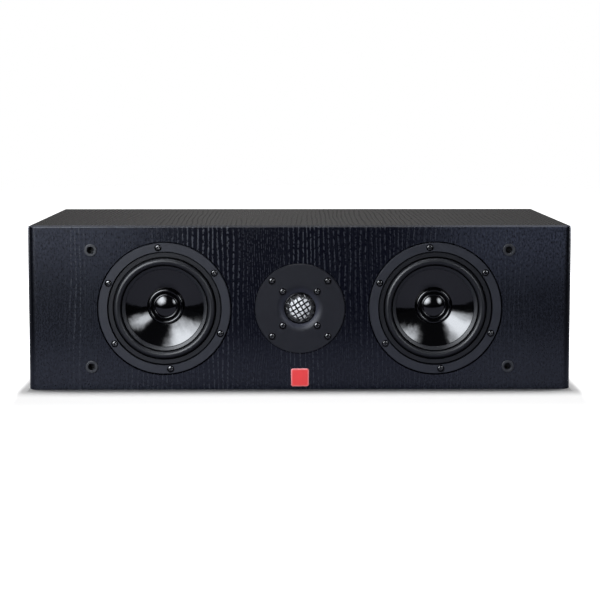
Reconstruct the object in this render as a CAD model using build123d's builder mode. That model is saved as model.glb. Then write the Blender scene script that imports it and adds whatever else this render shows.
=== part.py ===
"""Center channel speaker in millimetres: X across, the front faces -Y, Z up, origin under the middle of the cabinet."""
import os
from math import cos, hypot, radians, sin, sqrt

from build123d import *

# Cabinet
cabinet_width = 630.0
cabinet_height = 190.0
cabinet_depth = 260.0
panel_thickness = 16.0
baffle_thickness = 19.0
baffle_corner_radius = 10.0
wrap_radius = 1.0
back_thickness = 16.0
back_recess = 4.0
brace_thickness = 15.0
brace_offset = 68.0
brace_rail = 24.0
brace_window_radius = 18.0
pad_thickness = 25.0
pad_margin = 12.0
badge_size = 21.0
badge_corner = 2.6
badge_thickness = 1.6
badge_edge = 0.5
badge_height = 14.3

# Grille sockets
socket_inset_x = 73.5
socket_inset_z = 27.0
socket_bore = 8.0
socket_wall = 1.7
socket_flange_width = 1.4
socket_flange_thickness = 1.2
socket_bore_depth = 12.0
socket_floor = 1.6
socket_lead = 0.5

# Woofer frame
woofer_shift = 0.6
flange_radius = 76.5
flange_width = 10.3
flange_gap = 1.3
flange_thickness = 5.5
flange_edge = 0.7
seat_depth = 3.2
seat_width = 7.6
foot_gap = 1.2
basket_inset = 1.6
basket_wall = 2.5
basket_rim = 4.0
basket_depth = 41.0
basket_floor = 2.5
basket_cup_radius = 45.5
spider_depth = 31.0
spider_seat_width = 8.0
window_count = 6
window_arc = 40.0
window_margin = 2.5
screw_inset = 5.5
screw_count = 6
screw_start = 35.5

# Woofer moving parts
surround_thickness = 1.0
roll_width = 8.2
roll_height = 3.6
groove_width = 0.8
lip_width = 4.4
cone_thickness = 0.8
cone_depth = 20.3
cone_bow = 1.0
neck_length = 3.0
cap_radius = 20.4
cap_ring_radius = 17.0
cap_bead_radius = 14.5
cap_dome_radius = 12.4
cap_dome_height = 3.3
cap_thickness = 0.8
coil_radius = 12.6
former_thickness = 0.3
winding_thickness = 0.6
winding_length = 14.0
former_tail = 1.0
spider_thickness = 0.8
spider_wave = 1.5
spider_waves = 3
spider_collar = 3.0

# Woofer motor
pole_clearance = 0.5
gap_clearance = 0.65
top_plate_radius = 42.0
top_plate_thickness = 6.0
magnet_radius = 45.0
magnet_bore_radius = 22.0
magnet_thickness = 15.0
yoke_thickness = 6.0
pole_vent_radius = 4.0
strip_width = 22.0
strip_length = 12.0
strip_thickness = 1.6

# Tweeter face
plate_radius = 52.0
plate_thickness = 4.5
plate_proud = 2.0
plate_edge = 0.7
flare_radius = 27.6
flare_depth = 3.6
throat_radius = 18.6
boss_depth = 7.0
mounting_spacing = 64.6
motor_spacing = 39.8
mesh_seat_width = 1.4
mesh_thickness = 0.9
mesh_height = 8.0
mesh_pitch = 5.1
mesh_wire = 1.3
mesh_angle = 32.0

# Tweeter motor
dome_radius = 12.35
dome_height = 5.0
dome_thickness = 0.35
dome_rim = 0.95
tweeter_roll_width = 2.3
tweeter_roll_height = 1.1
tweeter_surround_thickness = 0.5
tweeter_seat_width = 3.9
tweeter_coil_thickness = 0.5
tweeter_coil_length = 6.6
tweeter_pole_clearance = 0.5
tweeter_gap_clearance = 0.6
tweeter_plate_thickness = 4.0
tweeter_motor_radius = 34.0
tweeter_magnet_bore_radius = 18.0
tweeter_magnet_thickness = 12.0
tweeter_yoke_thickness = 5.0

# Fasteners of the drivers
head_radius = 3.4
head_height = 2.2
counterbore_radius = 3.8
counterbore_depth = 2.8
shank_radius = 1.9
shank_length = 13.0

# Ports
port_inset = 145.0
port_radius = 19.0
port_wall = 2.0
port_length = 110.0
port_flare = 8.0
port_lip = 3.0
port_flange_thickness = 2.5
port_collar = 5.0

# Terminals
cup_width = 84.0
cup_height = 54.0
cup_depth = 24.0
cup_wall = 2.6
cup_floor = 2.6
cup_corner = 8.0
cup_flange_width = 9.0
cup_flange_thickness = 2.5
cup_screw_inset = 4.5
cup_screw_radius = 1.5
cup_screw_head_radius = 2.8
cup_screw_head_height = 1.6
cup_screw_length = 12.0
post_spacing = 32.0
post_radius = 3.0
post_bore = 4.0
post_bore_depth = 15.0
post_shoulder_radius = 6.0
post_shoulder_thickness = 1.5
post_boss_radius = 8.5
post_boss_height = 2.0
post_tail = 14.0
post_tip_inset = 1.5
nut_wall = 1.7
knob_wall = 3.5
knob_flutes = 10
flute_radius = 1.2
lock_nut_radius = 5.5
lock_nut_thickness = 3.4

# Crossover
board_width = 104.0
board_height = 84.0
board_thickness = 1.6
inductor_radius = 19.0
inductor_hole_radius = 7.0
inductor_length = 18.0
capacitor_radius = 8.0
capacitor_length = 32.0
resistor_length = 24.0
resistor_side = 9.0
wire_radius = 1.1
wire_bend = 8.0
wire_spread = 8.0

# Clearances
joint_clearance = 0.3
panel_clearance = 0.7
thread_clearance = 0.15
glue_gap = 0.15

# Derived positions
front_y = -cabinet_depth / 2
back_y = cabinet_depth / 2 - back_recess
middle_z = cabinet_height / 2
baffle_back_y = front_y + baffle_thickness
back_inner_y = back_y - back_thickness
inner_width = cabinet_width - 2 * panel_thickness
inner_height = cabinet_height - 2 * panel_thickness
wrap_depth = cabinet_depth - baffle_thickness
woofer_offset = cabinet_width / 4 - woofer_shift
port_offset = cabinet_width / 2 - port_inset
socket_spacing_x = cabinet_width - 2 * socket_inset_x
socket_spacing_z = cabinet_height - 2 * socket_inset_z

# Derived woofer sizes, depths run inward from the flange face
seat_radius = flange_radius - flange_width
screw_circle = 2 * (flange_radius - screw_inset)
roll_outer = seat_radius - seat_width
roll_inner = roll_outer - roll_width
roll_middle = (roll_outer + roll_inner) / 2
foot_radius = seat_radius - foot_gap
lip_outer = roll_inner - groove_width
lip_inner = lip_outer - lip_width
surround_face = seat_depth - surround_thickness
basket_radius = seat_radius - basket_inset
cutout_radius = basket_radius + panel_clearance
former_outer = coil_radius + former_thickness
neck_radius = former_outer + glue_gap
winding_radius = former_outer + winding_thickness
neck_depth = seat_depth + cone_depth
top_plate_back = basket_depth + top_plate_thickness
magnet_back = top_plate_back + magnet_thickness
winding_middle = basket_depth + top_plate_thickness / 2
former_end = winding_middle + winding_length / 2 + former_tail

# Derived curve of the cone, an arc that bows forward between its rim and its neck
cone_radius = lip_outer - joint_clearance
cone_run = cone_radius - neck_radius
cone_slant = hypot(cone_run, cone_depth)
cone_bend = (cone_slant**2 / 4 + cone_bow**2) / (2 * cone_bow)
bend_shift = (cone_bend - cone_bow) / cone_slant
bend_radius = (cone_radius + neck_radius) / 2 + bend_shift * cone_depth
bend_depth = (seat_depth + neck_depth) / 2 + bend_shift * cone_run


def cone_face(radius, rise=0.0):
    """Depth of the cone's front at a radius, or of the face parallel to it that lies a rise in front."""
    return bend_depth - sqrt((cone_bend + rise) ** 2 - (bend_radius - radius) ** 2)


# Derived seat of the dust cap on the cone
cap_seat = cone_face(cap_radius, glue_gap)
cap_base = cap_seat - cap_thickness

# Derived tweeter sizes, depths run inward from the plate face
plate_y = front_y - plate_proud
rebate_depth = plate_thickness - plate_proud
mesh_seat = flare_depth + mesh_thickness
surround_back = boss_depth
rim_radius = dome_radius + dome_rim
tweeter_roll_outer = rim_radius + tweeter_roll_width
clamp_radius = tweeter_roll_outer + tweeter_seat_width
tweeter_coil_outer = dome_radius + dome_rim - glue_gap
tweeter_coil_inner = tweeter_coil_outer - tweeter_coil_thickness
tweeter_cutout_radius = tweeter_motor_radius + panel_clearance
tweeter_plate_back = boss_depth + tweeter_plate_thickness
tweeter_magnet_back = tweeter_plate_back + tweeter_magnet_thickness

# Derived terminal sizes, heights run outward from the back panel face
cup_face = cup_flange_thickness - cup_depth + cup_floor
boss_face = cup_face + post_boss_height
shoulder_face = boss_face + post_shoulder_thickness
cup_back = cup_face - cup_floor
post_tip = cup_flange_thickness - post_tip_inset
nut_radius = post_radius + thread_clearance + nut_wall
knob_radius = nut_radius + glue_gap + knob_wall
board_face = cup_back - lock_nut_thickness
board_back = board_face - board_thickness


def front_plane(x, y, z):
    """Sketch plane seen from the front: its normal points out of the front."""
    return Plane(origin=(x, y, z), x_dir=(1, 0, 0), z_dir=(0, -1, 0))


def rear_plane(x, y, z):
    """Sketch plane seen from behind: its normal points out of the back."""
    return Plane(origin=(x, y, z), x_dir=(-1, 0, 0), z_dir=(0, 1, 0))


def section_plane(x, y, z, turn=0.0):
    """Half section through an axis along Y: local x is the radius and local y runs along +Y."""
    spoke = (cos(radians(turn)), 0, sin(radians(turn)))
    normal = (-sin(radians(turn)), 0, cos(radians(turn)))
    return Plane(origin=(x, y, z), x_dir=spoke, z_dir=normal)


def turned(x, y, z, points):
    """Ring or disc turned about an axis along Y from the radius and depth of its outline."""
    with BuildPart() as ring:
        with BuildSketch(section_plane(x, y, z)):
            with BuildLine():
                Polyline(*points, close=True)
            make_face()
        revolve(axis=Axis((x, y, z), (0, 1, 0)))
    return ring.part


def screw_set(plane, places, head, shank):
    """Group of screws: head and shank are each a radius and a length, the heads start at the plane."""
    with BuildPart() as screws:
        with BuildSketch(plane):
            with Locations(*places):
                Circle(head[0])
        extrude(amount=-head[1])
        with BuildSketch(plane.offset(-head[1])):
            with Locations(*places):
                Circle(shank[0])
        extrude(amount=-shank[1])
    return screws.part


def circle_places(circle, count, start):
    """Centres of a bolt circle."""
    angles = [radians(start + 360 * n / count) for n in range(count)]
    return [(circle / 2 * cos(a), circle / 2 * sin(a)) for a in angles]


def corner_places(width, height):
    """Centres at the four corners of a rectangle."""
    return [(sx * width / 2, sz * height / 2) for sx in (-1, 1) for sz in (-1, 1)]


def save(part, name):
    """Label a finished piece and write its file."""
    part.label = name
    export_step(part, f"parts/{name}.step")


woofer_screws = circle_places(screw_circle, screw_count, screw_start)
mounting_screws = corner_places(mounting_spacing, mounting_spacing)
motor_screws = corner_places(motor_spacing, motor_spacing)
sockets = corner_places(socket_spacing_x, socket_spacing_z)
cup_screws = corner_places(cup_width + 2 * cup_screw_inset, cup_height + 2 * cup_screw_inset)
posts = {"black": -post_spacing / 2, "red": post_spacing / 2}
sides = {"left": -1, "right": 1}


def front_baffle():
    """Full front of the cabinet with rebates, cut-outs and pilot holes."""
    with BuildPart() as baffle:
        with BuildSketch(front_plane(0, baffle_back_y, middle_z)):
            Rectangle(cabinet_width, cabinet_height)
        extrude(amount=baffle_thickness)
        fillet(baffle.edges().filter_by(Axis.Z).group_by(Axis.Y)[0], baffle_corner_radius)
        for face in (baffle.faces().sort_by(Axis.Z)[-1], baffle.faces().sort_by(Axis.Z)[0]):
            fillet(face.edges().sort_by(Axis.Y)[:-1], wrap_radius)
        for x in (-woofer_offset, woofer_offset):
            plane = front_plane(x, front_y, middle_z)
            with BuildSketch(plane):
                Circle(flange_radius + flange_gap)
            extrude(amount=-flange_thickness, mode=Mode.SUBTRACT)
            with BuildSketch(plane):
                Circle(cutout_radius)
                with Locations(*woofer_screws):
                    Circle(shank_radius + thread_clearance)
            extrude(amount=-baffle_thickness, mode=Mode.SUBTRACT)
        with BuildSketch(front_plane(0, front_y, middle_z)):
            Circle(plate_radius + panel_clearance)
        extrude(amount=-rebate_depth, mode=Mode.SUBTRACT)
        with BuildSketch(front_plane(0, front_y, middle_z)):
            Circle(tweeter_cutout_radius)
            with Locations(*mounting_screws):
                Circle(shank_radius + thread_clearance)
        extrude(amount=-baffle_thickness, mode=Mode.SUBTRACT)
        with BuildSketch(front_plane(0, front_y, middle_z)):
            with Locations(*sockets):
                Circle(socket_bore / 2 + socket_wall + joint_clearance)
        extrude(amount=-(socket_bore_depth + socket_floor), mode=Mode.SUBTRACT)
    return baffle.part


def wrap_panel(plane, length):
    """One mitred panel of the folded wrap: local x runs along its outer face and local y points outward."""
    tip = wrap_radius * (1 - sqrt(0.5))
    flat = length / 2 - wrap_radius
    bend = (length / 2 - wrap_radius * (1 - sin(radians(22.5))), -wrap_radius * (1 - cos(radians(22.5))))
    edge = length / 2 - tip
    foot = length / 2 - panel_thickness
    with BuildPart() as panel:
        with BuildSketch(plane):
            with BuildLine():
                Line((-flat, 0), (flat, 0))
                ThreePointArc((flat, 0), bend, (edge, -tip))
                Polyline((edge, -tip), (foot, -panel_thickness), (-foot, -panel_thickness), (-edge, -tip))
                ThreePointArc((-edge, -tip), (-bend[0], bend[1]), (-flat, 0))
            make_face()
        extrude(amount=-wrap_depth)
    return panel.part


def back_panel():
    """Inset back with holes for the ports and the terminal cup."""
    with BuildPart() as panel:
        with BuildSketch(rear_plane(0, back_y, middle_z)):
            Rectangle(inner_width, inner_height)
            with Locations((-port_offset, 0), (port_offset, 0)):
                Circle(port_radius + port_collar + joint_clearance, mode=Mode.SUBTRACT)
            RectangleRounded(
                cup_width + 2 * panel_clearance, cup_height + 2 * panel_clearance, cup_corner, mode=Mode.SUBTRACT
            )
            with Locations(*cup_screws):
                Circle(cup_screw_radius + thread_clearance, mode=Mode.SUBTRACT)
        extrude(amount=-back_thickness)
    return panel.part


def brace(x):
    """Window brace between the front, the back, the top and the bottom."""
    length = back_inner_y - baffle_back_y
    middle = (back_inner_y + baffle_back_y) / 2
    with BuildPart() as frame:
        with BuildSketch(Plane(origin=(x - brace_thickness / 2, middle, middle_z), x_dir=(0, 1, 0), z_dir=(1, 0, 0))):
            Rectangle(length, inner_height)
            RectangleRounded(
                length - 2 * brace_rail, inner_height - 2 * brace_rail, brace_window_radius, mode=Mode.SUBTRACT
            )
        extrude(amount=brace_thickness)
    return frame.part


def damping_pads():
    """Foam pads on the inner faces of both sides."""
    length = back_inner_y - baffle_back_y - 2 * pad_margin
    middle = (back_inner_y + baffle_back_y) / 2
    with BuildPart() as pads:
        for side in (-1, 1):
            plane = Plane(origin=(side * inner_width / 2, middle, middle_z), x_dir=(0, 1, 0), z_dir=(-side, 0, 0))
            with BuildSketch(plane):
                Rectangle(length, inner_height - 2 * pad_margin)
            extrude(amount=pad_thickness)
    return pads.part


def badge():
    """Bare badge with rounded corners and a softened face."""
    with BuildPart() as plate:
        with BuildSketch(front_plane(0, front_y, badge_height)):
            RectangleRounded(badge_size, badge_size, badge_corner)
        extrude(amount=badge_thickness)
        fillet(plate.faces().sort_by(Axis.Y)[0].edges(), badge_edge)
    return plate.part


def grille_sockets():
    """Four flanged sockets for the pegs of a grille."""
    bore = socket_bore / 2
    body = bore + socket_wall
    rim = body + socket_flange_width
    edge = socket_flange_thickness / 2
    with BuildPart() as group:
        for x, z in sockets:
            origin = (x, front_y, middle_z + z)
            with BuildSketch(section_plane(*origin)):
                with BuildLine():
                    Polyline(
                        (rim, -edge),
                        (rim, 0),
                        (body, 0),
                        (body, socket_bore_depth + socket_floor),
                        (0, socket_bore_depth + socket_floor),
                        (0, socket_bore_depth),
                        (bore, socket_bore_depth),
                        (bore, socket_lead - socket_flange_thickness),
                        (bore + socket_lead, -socket_flange_thickness),
                        (rim - edge, -socket_flange_thickness),
                    )
                    ThreePointArc(
                        (rim - edge, -socket_flange_thickness),
                        (rim - edge * (1 - sqrt(0.5)), -edge * (1 + sqrt(0.5))),
                        (rim, -edge),
                    )
                make_face()
            revolve(axis=Axis(origin, (0, 1, 0)))
    return group.part


def woofer_frame(x):
    """Flange, seat for the surround, open basket, seat for the spider and floor for the motor."""
    origin = (x, front_y, middle_z)
    cup_inner = basket_cup_radius - basket_wall
    bore = winding_radius + basket_wall
    rim_end = flange_thickness + basket_rim
    outline = [
        (seat_radius, 0),
        (flange_radius - flange_edge, 0),
        (flange_radius, flange_edge),
        (flange_radius, flange_thickness),
        (basket_radius, flange_thickness),
        (basket_radius, rim_end),
        (basket_cup_radius, spider_depth + basket_wall),
        (basket_cup_radius, basket_depth),
        (bore, basket_depth),
        (bore, basket_depth - basket_floor),
        (cup_inner, basket_depth - basket_floor),
        (cup_inner, spider_depth + basket_wall),
        (cup_inner - spider_seat_width, spider_depth + basket_wall),
        (cup_inner - spider_seat_width, spider_depth),
        (cup_inner, spider_depth),
        (basket_radius - basket_wall, rim_end),
        (basket_radius - basket_wall, flange_thickness),
        (roll_outer, flange_thickness),
        (roll_outer, seat_depth),
        (seat_radius, seat_depth),
    ]
    opening = [
        (flange_radius, rim_end + window_margin),
        (flange_radius, spider_depth - window_margin),
        (cup_inner - spider_seat_width, spider_depth - window_margin),
        (cup_inner - spider_seat_width, rim_end + window_margin),
    ]
    plane = front_plane(*origin)
    with BuildPart() as frame:
        with BuildSketch(section_plane(*origin)):
            with BuildLine():
                Polyline(*outline, close=True)
            make_face()
        revolve(axis=Axis(origin, (0, 1, 0)))
        for n in range(window_count):
            with BuildSketch(section_plane(*origin, turn=360 * n / window_count)):
                with BuildLine():
                    Polyline(*opening, close=True)
                make_face()
            revolve(axis=Axis(origin, (0, 1, 0)), revolution_arc=window_arc, mode=Mode.SUBTRACT)
        with BuildSketch(plane):
            with Locations(*woofer_screws):
                Circle(counterbore_radius)
        extrude(amount=-counterbore_depth, mode=Mode.SUBTRACT)
        with BuildSketch(plane):
            with Locations(*woofer_screws):
                Circle(shank_radius + thread_clearance)
        extrude(amount=-flange_thickness, mode=Mode.SUBTRACT)
    return frame.part


def woofer_surround(x):
    """Rubber half roll between a flat foot on the frame and a lip that follows the slope of the cone."""
    origin = (x, front_y, middle_z)
    rise = surround_thickness
    crown = surround_face - roll_height
    lip_face = [(radius, cone_face(radius, joint_clearance + rise)) for radius in (lip_outer, lip_inner)]
    lip_back = [(radius, cone_face(radius, joint_clearance)) for radius in (lip_inner, lip_outer)]
    with BuildPart() as surround:
        with BuildSketch(section_plane(*origin)):
            with BuildLine():
                ThreePointArc((roll_outer, surround_face), (roll_middle, crown), (roll_inner, surround_face))
                Polyline(
                    (roll_inner, surround_face),
                    (lip_outer, surround_face),
                    *lip_face,
                    *lip_back,
                    (lip_outer, seat_depth),
                    (roll_inner + rise, seat_depth),
                )
                ThreePointArc(
                    (roll_inner + rise, seat_depth), (roll_middle, crown + rise), (roll_outer - rise, seat_depth)
                )
                Polyline(
                    (roll_outer - rise, seat_depth),
                    (foot_radius, seat_depth),
                    (foot_radius, surround_face),
                    (roll_outer, surround_face),
                )
            make_face()
        revolve(axis=Axis(origin, (0, 1, 0)))
    return surround.part


def woofer_cone(x):
    """Flared cone that runs under the lip of the surround and ends in a neck on the coil former."""
    origin = (x, front_y, middle_z)
    shoulder = neck_radius + cone_thickness
    middle = (cone_radius + neck_radius) / 2
    rim_back, middle_back, shoulder_back = [
        (radius, cone_face(radius, -cone_thickness)) for radius in (cone_radius, middle, shoulder)
    ]
    with BuildPart() as cone:
        with BuildSketch(section_plane(*origin)):
            with BuildLine():
                ThreePointArc((cone_radius, seat_depth), (middle, cone_face(middle)), (neck_radius, neck_depth))
                Polyline(
                    (neck_radius, neck_depth),
                    (neck_radius, neck_depth + neck_length),
                    (shoulder, neck_depth + neck_length),
                    shoulder_back,
                )
                ThreePointArc(shoulder_back, middle_back, rim_back)
                Line(rim_back, (cone_radius, seat_depth))
            make_face()
        revolve(axis=Axis(origin, (0, 1, 0)))
    return cone.part


def woofer_dust_cap(x):
    """Dome inside two concentric beads."""
    origin = (x, front_y, middle_z)
    ring = (cap_radius - cap_ring_radius) / 2
    bead = (cap_bead_radius - cap_dome_radius) / 2
    apex = cap_base - cap_dome_height
    hollow = cap_dome_radius - cap_thickness
    curve = (cap_dome_radius**2 + cap_dome_height**2) / (2 * cap_dome_height)
    half = cap_dome_radius / 2
    with BuildPart() as cap:
        with BuildSketch(section_plane(*origin)):
            with BuildLine():
                Line((cap_radius, cap_seat), (cap_radius, cap_base))
                ThreePointArc(
                    (cap_radius, cap_base), (cap_radius - ring, cap_base - ring), (cap_ring_radius, cap_base)
                )
                Line((cap_ring_radius, cap_base), (cap_bead_radius, cap_base))
                ThreePointArc(
                    (cap_bead_radius, cap_base), (cap_bead_radius - bead, cap_base - bead), (cap_dome_radius, cap_base)
                )
                ThreePointArc(
                    (cap_dome_radius, cap_base), (half, apex + curve - sqrt(curve**2 - half**2)), (0, apex)
                )
                Line((0, apex), (0, apex + cap_thickness))
                ThreePointArc(
                    (0, apex + cap_thickness),
                    (half, apex + cap_thickness + curve - sqrt(curve**2 - half**2)),
                    (hollow, cap_seat),
                )
                Line((hollow, cap_seat), (cap_radius, cap_seat))
            make_face()
        revolve(axis=Axis(origin, (0, 1, 0)))
    return cap.part


def woofer_voice_coil(x):
    """Coil former with its winding."""
    former = [
        (coil_radius, cap_seat + joint_clearance),
        (former_outer, cap_seat + joint_clearance),
        (former_outer, winding_middle - winding_length / 2),
        (winding_radius, winding_middle - winding_length / 2),
        (winding_radius, winding_middle + winding_length / 2),
        (former_outer, winding_middle + winding_length / 2),
        (former_outer, former_end),
        (coil_radius, former_end),
    ]
    return turned(x, front_y, middle_z, former)


def woofer_spider(x):
    """Corrugated disc from the coil former to its seat in the basket."""
    inner = former_outer + joint_clearance
    outer = basket_cup_radius - basket_wall - joint_clearance
    wave_start = inner + spider_collar
    wave_end = basket_cup_radius - basket_wall - spider_seat_width
    step = (wave_end - wave_start) / (2 * spider_waves)
    wave = [
        (wave_start + step * (n + 0.5), spider_depth + spider_wave * (-1) ** n) for n in range(2 * spider_waves)
    ]
    back = [(inner, spider_depth), (wave_start, spider_depth), *wave, (wave_end, spider_depth), (outer, spider_depth)]
    front = [(radius, depth - spider_thickness) for radius, depth in reversed(back)]
    return turned(x, front_y, middle_z, back + front)


def woofer_top_plate(x):
    """Steel ring round the coil gap."""
    gap = winding_radius + gap_clearance
    outline = [
        (gap, basket_depth),
        (top_plate_radius, basket_depth),
        (top_plate_radius, top_plate_back),
        (gap, top_plate_back),
    ]
    return turned(x, front_y, middle_z, outline)


def woofer_magnet(x):
    """Ring magnet."""
    outline = [
        (magnet_bore_radius, top_plate_back),
        (magnet_radius, top_plate_back),
        (magnet_radius, magnet_back),
        (magnet_bore_radius, magnet_back),
    ]
    return turned(x, front_y, middle_z, outline)


def woofer_pole_yoke(x):
    """Back plate with a vented pole inside the coil."""
    pole = coil_radius - pole_clearance
    outline = [
        (pole_vent_radius, basket_depth),
        (pole, basket_depth),
        (pole, magnet_back),
        (top_plate_radius, magnet_back),
        (top_plate_radius, magnet_back + yoke_thickness),
        (pole_vent_radius, magnet_back + yoke_thickness),
    ]
    return turned(x, front_y, middle_z, outline)


def woofer_terminal_strip(x, side):
    """Strip for the leads on the side of the basket that faces the middle of the cabinet."""
    seat_x = x - side * (basket_cup_radius + glue_gap)
    start = front_y + spider_depth + basket_wall + joint_clearance
    with BuildPart() as strip:
        with BuildSketch(Plane(origin=(seat_x, start, middle_z), x_dir=(0, 1, 0), z_dir=(-side, 0, 0))):
            with Locations((strip_length / 2, 0)):
                Rectangle(strip_length, strip_width)
        extrude(amount=strip_thickness)
    return strip.part


def tweeter_faceplate():
    """Round plate with a flared mouth, a seat for the mesh, a boss behind it and eight counterbored holes."""
    origin = (0, plate_y, middle_z)
    run = flare_radius - throat_radius
    sweep_radius = (run**2 + flare_depth**2) / (2 * flare_depth)
    half = run / 2
    seat_inner = throat_radius - mesh_seat_width
    with BuildPart() as plate:
        with BuildSketch(section_plane(*origin)):
            with BuildLine():
                ThreePointArc(
                    (flare_radius, 0),
                    (flare_radius - half, sweep_radius - sqrt(sweep_radius**2 - half**2)),
                    (throat_radius, flare_depth),
                )
                Polyline(
                    (throat_radius, flare_depth),
                    (throat_radius, mesh_seat),
                    (seat_inner, mesh_seat),
                    (seat_inner, surround_back - tweeter_surround_thickness),
                    (clamp_radius + joint_clearance, surround_back - tweeter_surround_thickness),
                    (clamp_radius + joint_clearance, boss_depth),
                    (tweeter_motor_radius, boss_depth),
                    (tweeter_motor_radius, plate_thickness),
                    (plate_radius, plate_thickness),
                    (plate_radius, plate_edge),
                    (plate_radius - plate_edge, 0),
                    (flare_radius, 0),
                )
            make_face()
        revolve(axis=Axis(origin, (0, 1, 0)))
        with BuildSketch(front_plane(*origin)):
            with Locations(*mounting_screws, *motor_screws):
                Circle(counterbore_radius)
        extrude(amount=-counterbore_depth, mode=Mode.SUBTRACT)
        with BuildSketch(front_plane(*origin)):
            with Locations(*mounting_screws, *motor_screws):
                Circle(shank_radius + thread_clearance)
        extrude(amount=-boss_depth, mode=Mode.SUBTRACT)
    return plate.part


def tweeter_mesh():
    """Domed protective mesh with a flat rim."""
    origin = (0, plate_y, middle_z)
    rim = throat_radius - joint_clearance
    foot = rim - mesh_thickness
    curve = (foot**2 + mesh_height**2) / (2 * mesh_height)
    half = foot / 2
    sag = curve - sqrt(curve**2 - half**2)
    apex = flare_depth - mesh_height
    reach = int(2 * foot / mesh_pitch) // 2 + 1
    grid = [(i * mesh_pitch, k * mesh_pitch) for i in range(-reach, reach + 1) for k in range(-reach, reach + 1)]
    open_radius = foot - mesh_thickness
    cells = [cell for cell in grid if hypot(*cell) < open_radius]
    plane = front_plane(*origin).rotated((0, 0, mesh_angle))
    with BuildPart() as mesh:
        with BuildSketch(section_plane(*origin)):
            with BuildLine():
                ThreePointArc((0, apex), (half, apex + sag), (foot, flare_depth))
                Polyline(
                    (foot, flare_depth),
                    (rim, flare_depth),
                    (rim, mesh_seat),
                    (foot - mesh_thickness, mesh_seat),
                )
                ThreePointArc(
                    (foot - mesh_thickness, mesh_seat), (half, apex + sag + mesh_thickness), (0, apex + mesh_thickness)
                )
                Line((0, apex + mesh_thickness), (0, apex))
            make_face()
        revolve(axis=Axis(origin, (0, 1, 0)))
        with BuildSketch(plane.offset(mesh_height)):
            with Locations(*cells):
                Rectangle(mesh_pitch - mesh_wire, mesh_pitch - mesh_wire)
            Circle(open_radius, mode=Mode.INTERSECT)
        extrude(amount=-2 * mesh_height, mode=Mode.SUBTRACT)
    return mesh.part


def tweeter_dome():
    """Metal dome with a flat rim under the lip of its surround."""
    origin = (0, plate_y, middle_z)
    curve = (dome_radius**2 + dome_height**2) / (2 * dome_height)
    half = dome_radius / 2
    sag = curve - sqrt(curve**2 - half**2)
    apex = surround_back - dome_height
    with BuildPart() as dome:
        with BuildSketch(section_plane(*origin)):
            with BuildLine():
                Line((rim_radius, surround_back), (dome_radius, surround_back))
                ThreePointArc((dome_radius, surround_back), (half, apex + sag), (0, apex))
                Line((0, apex), (0, apex + dome_thickness))
                ThreePointArc(
                    (0, apex + dome_thickness),
                    (half, apex + sag + dome_thickness),
                    (dome_radius - dome_thickness, surround_back + dome_thickness),
                )
                Polyline(
                    (dome_radius - dome_thickness, surround_back + dome_thickness),
                    (rim_radius, surround_back + dome_thickness),
                    (rim_radius, surround_back),
                )
            make_face()
        revolve(axis=Axis(origin, (0, 1, 0)))
    return dome.part


def tweeter_surround():
    """Small half roll from the rim of the dome to the clamp under the face plate."""
    origin = (0, plate_y, middle_z)
    face = surround_back - tweeter_surround_thickness
    middle = (rim_radius + tweeter_roll_outer) / 2
    inner_foot = rim_radius + tweeter_surround_thickness / 2
    outer_foot = tweeter_roll_outer - tweeter_surround_thickness / 2
    with BuildPart() as surround:
        with BuildSketch(section_plane(*origin)):
            with BuildLine():
                ThreePointArc((tweeter_roll_outer, face), (middle, face - tweeter_roll_height), (rim_radius, face))
                Polyline(
                    (rim_radius, face),
                    (dome_radius + glue_gap, face),
                    (dome_radius + glue_gap, surround_back),
                    (inner_foot, surround_back),
                )
                ThreePointArc(
                    (inner_foot, surround_back),
                    (middle, face - tweeter_roll_height + tweeter_surround_thickness),
                    (outer_foot, surround_back),
                )
                Polyline(
                    (outer_foot, surround_back),
                    (clamp_radius, surround_back),
                    (clamp_radius, face),
                    (tweeter_roll_outer, face),
                )
            make_face()
        revolve(axis=Axis(origin, (0, 1, 0)))
    return surround.part


def tweeter_voice_coil():
    """Coil under the rim of the dome."""
    start = surround_back + dome_thickness + glue_gap
    outline = [
        (tweeter_coil_inner, start),
        (tweeter_coil_outer, start),
        (tweeter_coil_outer, start + tweeter_coil_length),
        (tweeter_coil_inner, start + tweeter_coil_length),
    ]
    return turned(0, plate_y, middle_z, outline)


def tweeter_top_plate():
    """Steel ring round the coil, tapped for the screws from the face."""
    gap = rim_radius + tweeter_gap_clearance
    with BuildPart() as plate:
        with BuildSketch(front_plane(0, plate_y + boss_depth, middle_z)):
            Circle(tweeter_motor_radius)
            Circle(gap, mode=Mode.SUBTRACT)
            with Locations(*motor_screws):
                Circle(shank_radius + thread_clearance, mode=Mode.SUBTRACT)
        extrude(amount=-tweeter_plate_thickness)
    return plate.part


def tweeter_magnet():
    """Ring magnet."""
    outline = [
        (tweeter_magnet_bore_radius, tweeter_plate_back),
        (tweeter_motor_radius, tweeter_plate_back),
        (tweeter_motor_radius, tweeter_magnet_back),
        (tweeter_magnet_bore_radius, tweeter_magnet_back),
    ]
    return turned(0, plate_y, middle_z, outline)


def tweeter_pole_yoke():
    """Back plate with the pole inside the coil."""
    pole = tweeter_coil_inner - tweeter_pole_clearance
    start = surround_back + dome_thickness + tweeter_roll_height
    outline = [
        (0, start),
        (pole, start),
        (pole, tweeter_magnet_back),
        (tweeter_motor_radius, tweeter_magnet_back),
        (tweeter_motor_radius, tweeter_magnet_back + tweeter_yoke_thickness),
        (0, tweeter_magnet_back + tweeter_yoke_thickness),
    ]
    return turned(0, plate_y, middle_z, outline)


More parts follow.
